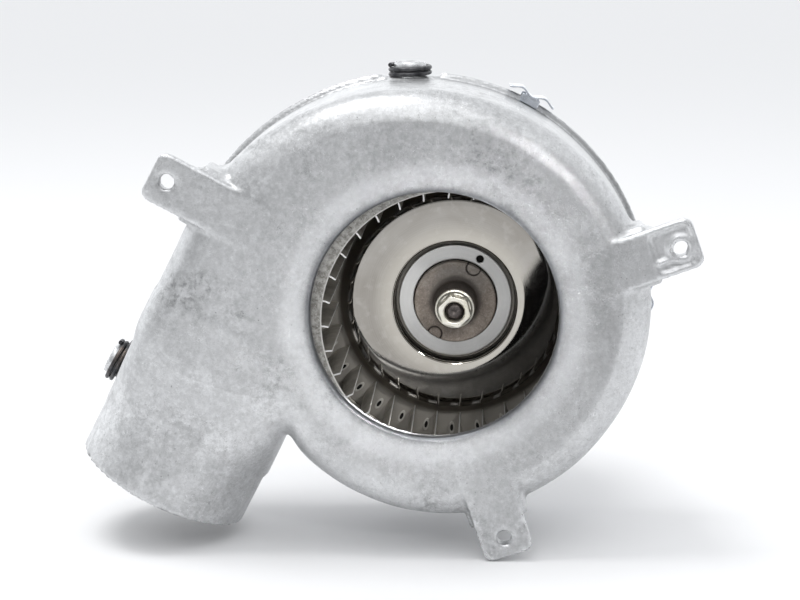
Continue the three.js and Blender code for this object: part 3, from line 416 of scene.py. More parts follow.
def fillet(points, steps=5):
    """Closed profile with corners rounded; each point is (r, y) or (r, y, corner radius)."""
    out, count = [], len(points)
    for i in range(count):
        corner = np.array(points[i][:2], float)
        radius = points[i][2] if len(points[i]) > 2 else 0
        if radius <= 0:
            out.append(corner)
            continue
        back = np.array(points[i - 1][:2], float) - corner
        ahead = np.array(points[(i + 1) % count][:2], float) - corner
        back_length, ahead_length = np.linalg.norm(back), np.linalg.norm(ahead)
        back, ahead = back / back_length, ahead / ahead_length
        half = math.acos(max(-1, min(1, float(back @ ahead)))) / 2
        trim = min(radius / math.tan(half), back_length * 0.48, ahead_length * 0.48)
        radius = trim * math.tan(half)
        middle = back + ahead
        centre = corner + middle / np.linalg.norm(middle) * radius / math.sin(half)
        start, end = corner + back * trim - centre, corner + ahead * trim - centre
        from_angle, to_angle = math.atan2(start[1], start[0]), math.atan2(end[1], end[0])
        while to_angle - from_angle > pi:
            to_angle -= 2 * pi
        while to_angle - from_angle < -pi:
            to_angle += 2 * pi
        for k in range(steps + 1):
            angle = from_angle + (to_angle - from_angle) * k / steps
            out.append(centre + radius * np.array([math.cos(angle), math.sin(angle)]))
    return out


def lathe(profile, segments, centre=(0.0, 0.0), closed=True):
    """A profile of (r, y) turned about an axis parallel to Y."""
    profile = np.array(profile, float)
    count = len(profile)
    angles = (np.arange(segments) * 2 * pi / segments)[:, None]
    radius = profile[:, 0][None, :]
    x = centre[0] + radius * np.cos(angles)
    z = centre[1] + radius * np.sin(angles)
    y = np.broadcast_to(profile[:, 1], x.shape)
    verts = np.stack([x, y, z], -1).reshape(-1, 3)
    i, k = np.meshgrid(np.arange(segments), np.arange(count), indexing="ij")
    i2, k2 = (i + 1) % segments, (k + 1) % count
    corners = [i * count + k, i * count + k2, i2 * count + k2, i2 * count + k]
    faces = np.stack(corners, -1).reshape(-1, 4)
    if not closed:
        faces = faces[faces[:, 1] % count != 0]
    return verts, faces


def build_ring(name, node, profile, mat, slot, body="frame", segments=48, corner_steps=5,
               centre=(0.0, 0.0)):
    verts, faces = lathe(fillet(profile, corner_steps), segments, centre)
    return build(name, node, verts, faces, mat, slot, body, sharp=50, fix=True)


def sweep(path, radius, sides=14):
    """A round wire along a path, its cut ends slightly rounded."""
    path = np.array(path, float)
    tangents = np.gradient(path, axis=0)
    tangents /= np.linalg.norm(tangents, axis=1)[:, None]
    normal = np.cross(tangents[0], [0.13, 0.94, 0.31])
    normal /= np.linalg.norm(normal)
    angles = np.arange(sides) * 2 * pi / sides
    rings = []
    for point, tangent in zip(path, tangents):
        normal = normal - tangent * (normal @ tangent)
        normal /= np.linalg.norm(normal)
        other = np.cross(tangent, normal)
        rings.append(point + radius * (np.cos(angles)[:, None] * normal
                                       + np.sin(angles)[:, None] * other))
    verts, last = list(np.concatenate(rings)), len(path) - 1

    def strip(start, end):
        return [(start + k, start + (k + 1) % sides, end + (k + 1) % sides, end + k)
                for k in range(sides)]
    faces = []
    for i in range(last):
        faces += strip(i * sides, (i + 1) * sides)
    for i, outwards in ((0, -1), (last, 1)):
        base = len(verts)
        verts += list(path[i] + (rings[i] - path[i]) * 0.82
                      + tangents[i] * outwards * radius * 0.16)
        faces += strip(i * sides, base)
        faces.append(tuple(base + k for k in range(sides)))
    return np.array(verts), faces


# ------------------------------------------------------------------ shader nodes
class Value:
    """A node's output; arithmetic on it adds Math nodes."""

    def __init__(self, nodes, socket):
        self.nodes, self.socket = nodes, socket

    def __add__(self, other):
        return self.nodes.math("ADD", self, other)

    def __sub__(self, other):
        return self.nodes.math("SUBTRACT", self, other)

    def __rsub__(self, other):
        return self.nodes.math("SUBTRACT", other, self)

    def __mul__(self, other):
        return self.nodes.math("MULTIPLY", self, other)

    def __truediv__(self, other):
        return self.nodes.math("DIVIDE", self, other)

    def __pow__(self, other):
        return self.nodes.math("POWER", self, other)

    def __abs__(self):
        return self.nodes.math("ABSOLUTE", self)

    def max(self, other):
        return self.nodes.math("MAXIMUM", self, other)

    def ramp(self, span, out=(0.0, 1.0), smooth=False):
        """Maps the span onto `out`, held level beyond its ends."""
        settings = {"interpolation_type": "SMOOTHSTEP"} if smooth else {}
        inputs = {"Value": self, "From Min": span[0], "From Max": span[1],
                  "To Min": out[0], "To Max": out[1]}
        return self.nodes.make("ShaderNodeMapRange", inputs, **settings)

    def toward(self, colour, by):
        """This colour mixed towards another."""
        return self.nodes.mix(self, colour, by)


class Nodes:
    """Adds nodes to an emptied node tree."""

    def __init__(self, tree):
        self.tree = tree
        tree.nodes.clear()

    def put(self, socket, value):
        if isinstance(value, Value):
            self.tree.links.new(value.socket, socket)
        elif socket.type == "RGBA":
            socket.default_value = (*value, 1.0)
        else:
            socket.default_value = value

    def add(self, kind, inputs, **settings):
        node = self.tree.nodes.new(kind)
        for key, value in settings.items():
            setattr(node, key, value)
        for key, value in inputs.items():
            self.put(node.inputs[key], value)
        return node

    def make(self, kind, inputs, output=0, **settings):
        return Value(self, self.add(kind, inputs, **settings).outputs[output])

    def math(self, operation, first, second=0.0):
        return self.make("ShaderNodeMath", {0: first, 1: second}, operation=operation)

    def mix(self, first, second, by):
        # sockets 6 and 7 and output 2 are the node's colour ones
        return self.make("ShaderNodeMix", {0: by, 6: first, 7: second}, 2, data_type="RGBA")

    def split(self, vector):
        node = self.add("ShaderNodeSeparateXYZ", {0: vector})
        return [Value(self, socket) for socket in node.outputs]

    def radius(self, x, z):
        return self.math("SQRT", x * x + z * z)


class Material(Nodes):
    """A Principled material textured in object space, where lengths are metres."""

    INPUTS = {"color": "Base Color", "metal": "Metallic", "rough": "Roughness",
              "normal": "Normal", "aniso": "Anisotropic", "tangent": "Tangent",
              "coat": "Coat Weight", "coat_rough": "Coat Roughness",
              "spec": "Specular IOR Level"}

    def __init__(self, name):
        self.material = bpy.data.materials.new(name)
        self.material.use_nodes = True
        super().__init__(self.material.node_tree)
        output = self.add("ShaderNodeOutputMaterial", {})
        self.bsdf = self.add("ShaderNodeBsdfPrincipled", {})
        self.tree.links.new(self.bsdf.outputs[0], output.inputs[0])

    @cached_property
    def coord(self):
        return self.make("ShaderNodeTexCoord", {}, "Object")

    def mapping(self, scale=(1, 1, 1), turn=(0, 0, 0), shift=(0, 0, 0)):
        return self.make("ShaderNodeMapping", {"Vector": self.coord, "Scale": scale,
                                               "Rotation": turn, "Location": shift})

    def noise(self, scale, detail=4, rough=0.55, distort=0.0, vector=None, shift=None):
        if shift is not None:
            vector = self.mapping(shift=shift)
        return self.make("ShaderNodeTexNoise", {
            "Vector": vector or self.coord, "Scale": scale, "Detail": detail,
            "Roughness": rough, "Distortion": distort})

    def cells(self, scale):
        """Distance to the nearest of many scattered points."""
        return self.make("ShaderNodeTexVoronoi", {"Vector": self.coord, "Scale": scale},
                         "Distance")

    def bands(self, pitch, axis, distort=0.0, detail=2):
        """Bands across an axis, with their pitch in millimetres."""
        return self.make("ShaderNodeTexWave", {
            "Vector": self.coord, "Scale": 1000 / pitch / (2 * pi), "Distortion": distort,
            "Detail": detail}, "Fac", bands_direction=axis)

    def mark(self, name, span):
        """A ramp over the mesh's "edge" or "hollow" attribute."""
        return self.make("ShaderNodeAttribute", {}, "Fac", attribute_name=name).ramp(span=span)

    def bump(self, height, strength, distance):
        return self.make("ShaderNodeBump", {"Strength": strength, "Distance": distance,
                                            "Height": height})

    def finish(self, **inputs):
        for key, value in inputs.items():
            self.put(self.bsdf.inputs[self.INPUTS[key]], value)
        return self.material


def shade(colour, factor):
    return tuple(min(1, value * factor) for value in colour)


def scratches(mat, sets, density):
    """Thin straggling lines, 1 on a line; each set is (turn x, turn y, turn z, scale)."""
    total = None
    for i, (turn_x, turn_y, turn_z, scale) in enumerate(sets):
        stretched = mat.mapping(scale=(scale, scale * 0.045, scale),
                                turn=(turn_x, turn_y, turn_z), shift=(i * 3.1, i * 1.7, i * 5.3))
        noise = mat.noise(scale=1.0, detail=2, rough=0.5, vector=stretched)
        line = abs(noise - 0.5).ramp(span=(0.0, 0.004), out=(1.0, 0.0))
        patches = mat.noise(scale=38 + 9 * i, detail=1, rough=0.5, shift=(i, 2 * i, 3 * i))
        one = line * patches.ramp(span=(density, density + 0.06))
        total = one if total is None else total.max(one)
    return total


# ------------------------------------------------------------------ materials
def cast_aluminium(name, dirt, tone, mouth=False):
    """Mottled casting; with `mouth`, painted shade and soot on the inlet's rolled edge and a
    painted highlight on the ring round it.
    """
    mat = Material(name)

    def grey(value):
        return (value * tone * 0.99, value * tone, value * tone * 1.012)
    big = mat.noise(scale=13, detail=3, distort=0.4)
    cloud = mat.noise(scale=33, detail=5, rough=0.62, distort=0.7)
    mid = mat.noise(scale=85, detail=5, rough=0.66, distort=0.5)
    fine = mat.noise(scale=420, rough=0.68)
    grain = mat.noise(scale=1900, detail=3, rough=0.65)
    # broad clouds
    colour = mat.mix(grey(0.47), grey(0.555), by=big.ramp(span=(0.38, 0.62), smooth=True))
    colour = colour.toward(grey(0.34), by=cloud.ramp(span=(0.50, 0.62)) * (0.40 * dirt))
    colour = colour.toward(grey(0.64), by=mid.ramp(span=(0.53, 0.66)) * (0.42 * dirt))
    # dark blotches that break up into specks
    blotch = (mat.noise(scale=24, rough=0.6, shift=(2.3, 1.1, 0.7)).ramp(span=(0.53, 0.64))
              * mat.noise(scale=300, detail=5, rough=0.75).ramp(span=(0.46, 0.60)))
    colour = colour.toward(grey(0.22), by=blotch * (0.75 * dirt))
    # pale worn patches with ragged edges
    ragged = mat.noise(scale=210, detail=5, rough=0.78, shift=(1.3, 2.1, 5.7))
    pale = (mat.noise(scale=28, rough=0.6, shift=(7.3, 4.1, 2.7)).ramp(span=(0.54, 0.64))
            * ragged.ramp(span=(0.47, 0.58)))
    colour = colour.toward(grey(0.80), by=pale * (0.38 * dirt))
    # fine light and dark specks
    colour = colour.toward(grey(0.72), by=fine.ramp(span=(0.44, 0.62)) * 0.34)
    speck = mat.noise(scale=760, detail=5, rough=0.74, shift=(3.7, 0.9, 6.1))
    colour = colour.toward(grey(0.31), by=speck.ramp(span=(0.53, 0.63))
                           * cloud.ramp(span=(0.40, 0.62), out=(0.14, 0.46)))
    colour = colour.toward(grey(0.82), by=speck.ramp(span=(0.45, 0.36))
                           * mid.ramp(span=(0.40, 0.62), out=(0.12, 0.36)))
    colour = colour.toward(grey(0.28), by=grain.ramp(span=(0.54, 0.70)) * 0.28)
    # pits
    pit = mat.cells(scale=430).ramp(span=(0.0, 0.13), out=(1, 0))
    pit = pit * mat.noise(scale=55, detail=2, rough=0.5, shift=(4, 4, 1)).ramp(span=(0.50, 0.60))
    colour = colour.toward((0.11, 0.112, 0.118), by=pit * 0.85)
    # scuffs, pale and dark
    pale_lines = scratches(mat, ((0.2, 0.3, 0.5, 260), (1.3, 0.9, 2.2, 300),
                                 (0.4, 1.9, 1.1, 240), (0.1, 0.75, 0.1, 340)), density=0.53)
    colour = colour.toward(grey(0.85), by=pale_lines * (0.55 * dirt))
    dark_lines = scratches(mat, ((0.9, 0.5, 1.9, 210), (0.2, 2.4, 0.4, 250),
                                 (1.7, 1.2, 0.2, 190)), density=0.56)
    colour = colour.toward(grey(0.2), by=dark_lines * (0.6 * dirt))
    # darker in hollows, rubbed edges
    colour = colour.toward(grey(0.2), by=mat.mark("hollow", span=(-0.10, -1.1)) * 0.45)
    edge = mat.make("ShaderNodeAttribute", {}, "Fac", attribute_name="edge")
    edge = (edge + (fine - 0.5) * 0.5).ramp(span=(0.22, 0.75))
    colour = colour.toward(grey(0.82), by=edge * 0.5)
    if mouth:
        x, _, z = mat.split(mat.coord)
        reach = mat.radius(x - INLET_CENTRE[0] * MM, z - INLET_CENTRE[1] * MM)
        reach = reach + (mat.noise(scale=120, rough=0.6) - 0.5) * 0.0012
        # painted shade, with some soot, on the inlet's rolled lip
        colour = colour.toward((0.10, 0.105, 0.115), by=reach.ramp(
            span=(0.0402, 0.0431), out=(0.86, 0.0), smooth=True))
        # painted highlight on the ring round the mouth, where the face rolls in
        colour = colour.toward(grey(0.80), by=reach.ramp(span=(0.0425, 0.0445)) * reach.ramp(
            span=(0.047, 0.052), out=(0.30, 0), smooth=True))
    rough = mid.ramp(span=(0.35, 0.7), out=(0.31, 0.43)) - edge * 0.12 + pit * 0.2
    height = fine * 0.9 + grain * 0.3 + mid * 1.3 - pit * 1.0 - pale_lines.max(dark_lines) * 0.4
    return mat.finish(color=colour, metal=0.72, rough=rough, spec=0.35,
                      normal=mat.bump(height, strength=0.45, distance=0.0002))


def plate_steel(name):
    """Sheet brushed in circles round the shaft."""
    mat = Material(name)
    base, stain = (0.60, 0.595, 0.58), (0.52, 0.513, 0.495)
    x, y, z = mat.split(mat.coord)
    circles = mat.make("ShaderNodeCombineXYZ", {0: mat.radius(x, z) * 1.0, 1: y * 1.0})
    brush = mat.noise(scale=2300, detail=3, rough=0.7, vector=circles)
    cloud = mat.noise(scale=34, rough=0.6, distort=0.8)
    spot = mat.noise(scale=210, rough=0.62)
    colour = mat.mix(base, stain, by=cloud.ramp(span=(0.4, 0.66)) * 0.35)
    colour = colour.toward(shade(base, 1.2), by=spot.ramp(span=(0.55, 0.7)) * 0.35)
    bright = (base[0] * 1.25, base[1] * 1.25, base[2] * 1.27)
    colour = colour.toward(bright, by=brush.ramp(span=(0.35, 0.7)) * 0.22)
    lines = scratches(mat, ((0.3, 0.8, 0.2, 300), (1.5, 0.2, 1.2, 260)), density=0.55)
    colour = colour.toward((0.8, 0.79, 0.76), by=lines * 0.4)
    rough = (cloud * 0.6 + spot * 0.4).ramp(span=(0.35, 0.65), out=(0.38, 0.48))
    tangent = mat.make("ShaderNodeTangent", {}, direction_type="RADIAL", axis="Y")
    return mat.finish(color=colour, metal=1.0, rough=rough, aniso=0.4, tangent=tangent,
                      normal=mat.bump(brush * 0.5 + spot * 0.3, strength=0.16, distance=0.00005))


def disc_steel(name):
    """Polished sheet: painted shade in the groove round the hub plate and on the wall inside the
    flange, a row of slots under the blades.
    """
    mat = Material(name)
    x, y, z = mat.split(mat.coord)
    reach = mat.radius(x, z)
    circles = mat.make("ShaderNodeCombineXYZ", {0: reach})
    brush = mat.noise(scale=2600, detail=3, rough=0.7, vector=circles)
    cloud = mat.noise(scale=30, rough=0.6, distort=0.8)
    spot = mat.noise(scale=260, rough=0.62)
    colour = mat.mix((0.33, 0.315, 0.29), (0.255, 0.238, 0.213),
                     by=cloud.ramp(span=(0.4, 0.66)))
    colour = colour.toward((0.48, 0.465, 0.44), by=spot.ramp(span=(0.54, 0.7)) * 0.25)
    colour = colour.toward((0.52, 0.51, 0.49), by=brush.ramp(span=(0.4, 0.7)) * 0.18)
    # warm bloom towards the groove, then the outer flange
    warm = reach.ramp(span=(0.0225, 0.030), out=(1, 0), smooth=True) * 0.45
    colour = colour.toward((0.56, 0.53, 0.47), by=warm)
    colour = colour.toward((0.36, 0.34, 0.305),
                           by=reach.ramp(span=(0.0403, 0.0408), out=(0.0, 0.8)))
    # painted shade in the groove, then painted black inwards for the shadow behind the hub plate,
    # seen through its hole
    colour = colour.toward((0.05, 0.045, 0.04),
                           by=reach.ramp(span=(0.0205, 0.0212), out=(0.40, 0.0)))
    colour = colour.toward((0.015, 0.014, 0.013),
                           by=reach.ramp(span=(0.0186, 0.0189), out=(0.97, 0.0)))
    # painted shade on the sloping wall inside the flange
    colour = colour.toward((0.13, 0.105, 0.08), by=reach.ramp(span=(0.0366, 0.0378))
                           * reach.ramp(span=(0.0399, 0.0404), out=(0.75, 0)))
    # slots: an ellipse for each blade, painted black for the shade inside, with a painted
    # highlight on its rim
    slot_r, half_width, half_length = 0.0468, 0.00062, 0.0014
    angle = mat.math("ARCTAN2", z, x)
    turns = mat.math("FRACT", (angle - (BLADE_TURN + 0.035)) * (BLADES / (2 * pi)) + 8.0)
    sideways = (turns - 0.5) * (2 * pi / BLADES * 0.0465)
    outwards = reach - slot_r
    ellipse = mat.math("SQRT", (abs(sideways) / half_width) ** 2.0
                       + (abs(outwards) / half_length) ** 2.0)
    rim = ellipse.ramp(span=(0.85, 1.0)) * ellipse.ramp(span=(1.5, 1.75), out=(1, 0))
    hole = ellipse.ramp(span=(0.75, 0.95), out=(1, 0))
    colour = colour.toward((0.62, 0.60, 0.56), by=rim * 0.75)
    colour = colour.toward((0.015, 0.014, 0.013), by=hole)
    groove = reach.ramp(span=(0.0207, 0.0211), out=(1, 0))
    rough = spot.ramp(span=(0.35, 0.65), out=(0.028, 0.05)) + groove.max(hole) * 0.5
    rough = rough + reach.ramp(span=(0.040, 0.0412), out=(0.0, 0.30))
    rough = rough + reach.ramp(span=(0.0362, 0.0375), out=(0.0, 0.34))
    return mat.finish(
        color=colour, metal=reach.ramp(span=(0.040, 0.0412), out=(1.0, 0.55)), rough=rough,
        normal=mat.bump(brush * 0.010 + (rim - hole) * 0.9, strength=0.5, distance=0.0003))


def cage_steel(name):
    """Galvanised blades; the front ring is paler and pitted."""
    mat = Material(name)
    x, y, z = mat.split(mat.coord)
    reach = mat.radius(x, z)
    cloud = mat.noise(scale=60, rough=0.6, distort=0.5)
    spot = mat.noise(scale=420, detail=5, rough=0.72)
    fine = mat.noise(scale=1800, detail=3, rough=0.6)
    blade = mat.mix((0.42, 0.395, 0.35), (0.28, 0.262, 0.23), by=cloud.ramp(span=(0.4, 0.64)))
    blade = blade.toward((0.66, 0.64, 0.60), by=spot.ramp(span=(0.52, 0.68)) * 0.35)
    # the ring: mottle, pits, bright specks, and a painted highlight on the inner rim
    ring = mat.mix((0.235, 0.225, 0.205), (0.50, 0.49, 0.465), by=spot.ramp(span=(0.42, 0.60)))
    pit = (mat.cells(scale=900).ramp(span=(0.0, 0.3), out=(1, 0))
           * mat.noise(scale=160, detail=3, rough=0.6).ramp(span=(0.44, 0.56)))
    ring = ring.toward((0.09, 0.085, 0.078), by=pit * 0.8)
    ring = ring.toward((0.74, 0.73, 0.70), by=fine.ramp(span=(0.60, 0.70)))
    rim = (reach.ramp(span=(0.0437, 0.0439), out=(1, 0))
           * reach.ramp(span=(0.0432, 0.0434)))
    ring = ring.toward((0.60, 0.59, 0.565), by=rim)
    front = y.ramp(span=((13.2 - NOSE) * MM, (13.6 - NOSE) * MM), out=(1, 0))
    outside = reach.ramp(span=(0.0430, 0.0433))
    colour = blade.toward(ring, by=front * outside)
    # painted highlight on the blades' front and inner edges, where they catch the light
    tip = y.ramp(span=((12.62 - NOSE) * MM, (12.75 - NOSE) * MM), out=(1, 0))
    inner = reach.ramp(span=(0.04105, 0.0412), out=(1, 0))
    edge_highlight = (tip * reach.ramp(span=(0.0433, 0.0434), out=(1, 0))).max(inner)
    colour = colour.toward((0.86, 0.855, 0.84), by=edge_highlight * 0.9)
    rough = cloud.ramp(span=(0.35, 0.65), out=(0.34, 0.46)) + front * outside * 0.1
    height = spot * 0.8 + fine * 0.5 - pit * 0.7
    return mat.finish(color=colour, metal=0.4, rough=rough,
                      normal=mat.bump(height, strength=0.4, distance=0.0001))


def plated(name, base, dark, rough, metal=1.0):
    """Bright metal, paler on edges and darker in hollows."""
    mat = Material(name)
    mottle = mat.noise(scale=240, rough=0.6)
    grain = mat.noise(scale=1500, detail=3, rough=0.6)
    colour = mat.mix(base, dark, by=mottle.ramp(span=(0.42, 0.66)))
    colour = colour.toward(shade(base, 1.25), by=grain.ramp(span=(0.5, 0.7)) * 0.3)
    colour = colour.toward(shade(base, 1.3), by=mat.mark("edge", span=(0.25, 0.9)) * 0.5)
    colour = colour.toward(shade(dark, 0.5), by=mat.mark("hollow", span=(-0.1, -0.9)) * 0.5)
    return mat.finish(color=colour, metal=metal, rough=mottle.ramp(span=(0.35, 0.65), out=rough),
                      normal=mat.bump(grain + mottle * 0.6, strength=0.2, distance=0.00006))


def sintered(name, base, dark, light, rough, metal):
    """Speckled, pitted metal."""
    mat = Material(name)
    mottle = mat.noise(scale=260, detail=5, rough=0.7)
    grain = mat.noise(scale=1400, rough=0.7)
    cloud = mat.noise(scale=60, detail=3, rough=0.5)
    colour = mat.mix(dark, base, by=mottle.ramp(span=(0.38, 0.66)))
    colour = colour.toward(light, by=grain.ramp(span=(0.52, 0.68)) * 0.75)
    colour = colour.toward(dark, by=cloud.ramp(span=(0.5, 0.7)) * 0.35)
    pit = mat.cells(scale=1700).ramp(span=(0.0, 0.25), out=(1, 0))
    colour = colour.toward(shade(dark, 0.45), by=pit * 0.5)
    colour = colour.toward(light, by=mat.mark("edge", span=(0.25, 0.9)) * 0.35)
    height = grain + mottle * 0.5 - pit * 0.6
    return mat.finish(color=colour, metal=metal, rough=rough,
                      normal=mat.bump(height, strength=0.5, distance=0.0001))


def hub_iron(name):
    """Speckled sintered iron, darker towards the boss (painted shade and dirt) and in the ring
    marks.
    """
    mat = Material(name)
    x, y, z = mat.split(mat.coord)
    reach = mat.radius(x, z)
    mottle = mat.noise(scale=330, detail=5, rough=0.72)
    grain = mat.noise(scale=1500, rough=0.7)
    cloud = mat.noise(scale=75, detail=3, rough=0.5)
    speck = mat.noise(scale=700, rough=0.7)
    colour = mat.mix((0.235, 0.195, 0.165), (0.37, 0.315, 0.265),
                     by=mottle.ramp(span=(0.40, 0.62)))
    colour = colour.toward((0.47, 0.41, 0.355), by=grain.ramp(span=(0.50, 0.66)) * 0.7)
    colour = colour.toward((0.20, 0.165, 0.14), by=speck.ramp(span=(0.52, 0.64)) * 0.55)
    colour = colour.toward((0.36, 0.35, 0.33), by=cloud.ramp(span=(0.46, 0.66)) * 0.4)
    pit = mat.cells(scale=1500).ramp(span=(0.0, 0.22), out=(1, 0))
    colour = colour.toward((0.09, 0.075, 0.065), by=pit * 0.55)
    # painted shade and dirt round the boss, painted shade and oxide on the boss itself, and
    # darker in hollows
    colour = colour.toward((0.085, 0.068, 0.056), by=reach.ramp(
        span=(0.0072, 0.0105), out=(0.82, 0.0), smooth=True))
    colour = colour.toward((0.06, 0.05, 0.043), by=y.ramp(
        span=((46.6 - NOSE) * MM, (47.4 - NOSE) * MM), out=(1, 0)) * 0.6)
    colour = colour.toward((0.06, 0.05, 0.043), by=mat.mark("hollow", span=(-0.1, -0.9)) * 0.6)
    for mark_x, mark_z in HUB_MARKS:
        from_mark = mat.radius(x - mark_x * MM, z - mark_z * MM)
        line = abs(from_mark - 0.00245).ramp(span=(0.00016, 0.00034), out=(0.85, 0))
        colour = colour.toward((0.045, 0.038, 0.032), by=line)
    height = grain + mottle * 0.7 - pit * 0.6
    return mat.finish(color=colour, metal=0.25, rough=0.62,
                      normal=mat.bump(height, strength=0.55, distance=0.00012))


def laminated(name):
    """Stacked steel sheets, with traces of rust."""
    mat = Material(name)
    sheets = mat.bands(pitch=0.5, axis="Y")
    mottle = mat.noise(scale=90, rough=0.6)
    grain = mat.noise(scale=700, detail=3, rough=0.6)
    colour = mat.mix((0.20, 0.205, 0.215), (0.31, 0.31, 0.315),
                     by=mottle.ramp(span=(0.4, 0.66)))
    colour = colour.toward((0.07, 0.07, 0.075),
                           by=sheets.ramp(span=(0.0, 0.3), out=(1, 0)) * 0.7)
    rust = mat.noise(scale=160, detail=5, rough=0.7).ramp(span=(0.60, 0.72)) * 0.35
    colour = colour.toward((0.26, 0.16, 0.09), by=rust)
    return mat.finish(
        color=colour, metal=0.75, rough=mottle.ramp(span=(0.35, 0.65), out=(0.38, 0.55)),
        normal=mat.bump(sheets * 1.0 + grain * 0.3, strength=0.5, distance=0.00012))


def moulded(name, base, rough, speck, amount, grain_scale=900):
    """Plastic or rubber, lightly mottled with a second colour."""
    mat = Material(name)
    grain = mat.noise(scale=grain_scale, detail=3, rough=0.6)
    cloud = mat.noise(scale=60, detail=3)
    colour = mat.mix(base, speck, by=cloud.ramp(span=(0.4, 0.7)) * amount)
    colour = colour.toward(shade(base, 0.55), by=grain.ramp(span=(0.5, 0.7)) * (amount * 0.8))
    colour = colour.toward(speck, by=mat.mark("edge", span=(0.3, 1.0)) * 0.2)
    return mat.finish(
        color=colour, metal=0.0,
        rough=cloud.ramp(span=(0.35, 0.65), out=(rough - 0.07, rough + 0.08)),
        normal=mat.bump(grain, strength=0.25, distance=0.00006))


def wire_steel(name):
    """Dark wire with brownish patches."""
    mat = Material(name)
    mottle = mat.noise(scale=500, rough=0.65)
    patches = mat.noise(scale=120, detail=3, rough=0.5)
    colour = mat.mix((0.035, 0.036, 0.04), (0.13, 0.13, 0.135),
                     by=mottle.ramp(span=(0.4, 0.66)))
    colour = colour.toward((0.17, 0.13, 0.10), by=patches.ramp(span=(0.54, 0.68)) * 0.4)
    return mat.finish(color=colour, metal=0.9,
                      rough=mottle.ramp(span=(0.35, 0.65), out=(0.28, 0.45)),
                      normal=mat.bump(mottle, strength=0.3, distance=0.00008))


def winding_tape(name):
    """Glossy amber tape with fine bands."""
    mat = Material(name)
    turns = mat.bands(pitch=0.62, axis="X", distort=0.6, detail=1)
    mottle = mat.noise(scale=120, rough=0.6)
    colour = mat.mix((0.55, 0.30, 0.06), (0.70, 0.44, 0.12), by=mottle.ramp(span=(0.4, 0.65)))
    colour = colour.toward((0.20, 0.09, 0.02),
                           by=turns.ramp(span=(0.0, 0.35), out=(1, 0)) * 0.55)
    return mat.finish(
        color=colour, metal=0.25, rough=mottle.ramp(span=(0.35, 0.65), out=(0.22, 0.36)),
        coat=0.5, coat_rough=0.15,
        normal=mat.bump(turns * 1.0 + mottle * 0.6, strength=0.45, distance=0.00015))


CASTING = cast_aluminium("cast_aluminium", dirt=1.1, tone=1.07, mouth=True)
COVER_CASTING = cast_aluminium("cast_aluminium_cover", dirt=0.7, tone=1.15)
BRACKET_CASTING = cast_aluminium("cast_aluminium_bracket", dirt=0.5, tone=1.18)
CAGE_STEEL = cage_steel("impeller_steel")
DISC_STEEL = disc_steel("impeller_disc_steel")
PLATE_STEEL = plate_steel("plate_steel")
HUB_IRON = hub_iron("sintered_iron")
NUT_STEEL = plated("plated_nut", base=(0.86, 0.83, 0.74), dark=(0.74, 0.70, 0.58),
                   rough=(0.27, 0.38), metal=0.85)
SCREW_STEEL = plated("plated_screw", base=(0.74, 0.72, 0.62), dark=(0.56, 0.52, 0.38),
                     rough=(0.25, 0.42))
TIN = plated("tin_plate", base=(0.74, 0.74, 0.72), dark=(0.58, 0.58, 0.56), rough=(0.18, 0.32))
SHAFT_STEEL = sintered("shaft_steel", base=(0.10, 0.085, 0.08), dark=(0.05, 0.042, 0.04),
                       light=(0.2, 0.175, 0.16), rough=0.42, metal=0.6)
LAMINATION = laminated("lamination")
BLACK_PLASTIC = moulded("black_plastic", base=(0.018, 0.018, 0.02), rough=0.45,
                        speck=(0.12, 0.12, 0.125), amount=0.15)
WHITE_PLASTIC = moulded("white_plastic", base=(0.74, 0.71, 0.63), rough=0.42,
                        speck=(0.60, 0.55, 0.44), amount=0.4)
DAMPER_RUBBER = moulded("damper_rubber", base=(0.02, 0.02, 0.02), rough=0.7,
                        speck=(0.09, 0.088, 0.085), amount=0.3)
GASKET_RUBBER = moulded("gasket_rubber", base=(0.045, 0.045, 0.05), rough=0.8,
                        speck=(0.14, 0.14, 0.14), amount=0.4, grain_scale=1800)
SEAL = moulded("seal_compound", base=(0.09, 0.075, 0.06), rough=0.6,
               speck=(0.2, 0.17, 0.14), amount=0.4)
COPPER = plated("copper", base=(0.78, 0.40, 0.25), dark=(0.50, 0.22, 0.12), rough=(0.25, 0.4))
BRONZE = sintered("sintered_bronze", base=(0.50, 0.33, 0.16), dark=(0.28, 0.17, 0.07),
                  light=(0.68, 0.50, 0.28), rough=0.45, metal=0.9)
COIL_TAPE = winding_tape("coil_tape")
SPRING_WIRE = wire_steel("spring_wire")
CLIP_STEEL = plated("clip_steel", base=(0.66, 0.69, 0.74), dark=(0.46, 0.49, 0.54),
                    rough=(0.16, 0.3))

# ------------------------------------------------------------------ scroll housing
HOUSING_STEP = 1.1
HOLLOW_LOW, HOLLOW_HIGH = (-131.0, -80.0), (81.5, 86.5)   # (x, z) extent of housing and cover
# Each lug points out at an angle; the rest is in its own (out, side) coordinates: the hole,
# the first side, the tip, the housing wall and the root of the plate.
LUGS = [
    dict(angle=152.3, hole=(103.0, 0.5), side=-7.8, end=108.9, kind="plain", wall=91.6, root=78),
    dict(angle=20.0, hole=(77.0, 0.8), side=-6.7, end=82.98, kind="pocket", wall=65.2, root=52),
    dict(angle=-71.6, hole=(71.2, -5.6), side=-13.8, end=77.72, kind="dimples", wall=62.6,
         root=50),
]
LUG_WIDTH, LUG_HOLE_R = 16.6, 2.5
WEB = 2.5                                  # thickness of a lug's two webs
left_x, left_z = duct_point(27.5, -30.2)
# A peg stands along its normal from its centre; both directions are (x, z).
PEG_TOP = dict(centre=(-15.7, 49.0, TOP_WALL), normal=(0, 1), along=(1, 0))
PEG_LEFT = dict(centre=(left_x, 40.0, left_z), normal=(-ACROSS[0], -ACROSS[1]), along=ALONG)
PEGS = (PEG_TOP, PEG_LEFT)
NOTCH_HALF = 10.3                          # gap in the flange and cover at the top peg


def peg_notch(x, z):
    return np.maximum(np.abs(x - PEG_TOP["centre"][0]) - NOTCH_HALF, TOP_WALL + 0.2 - z)


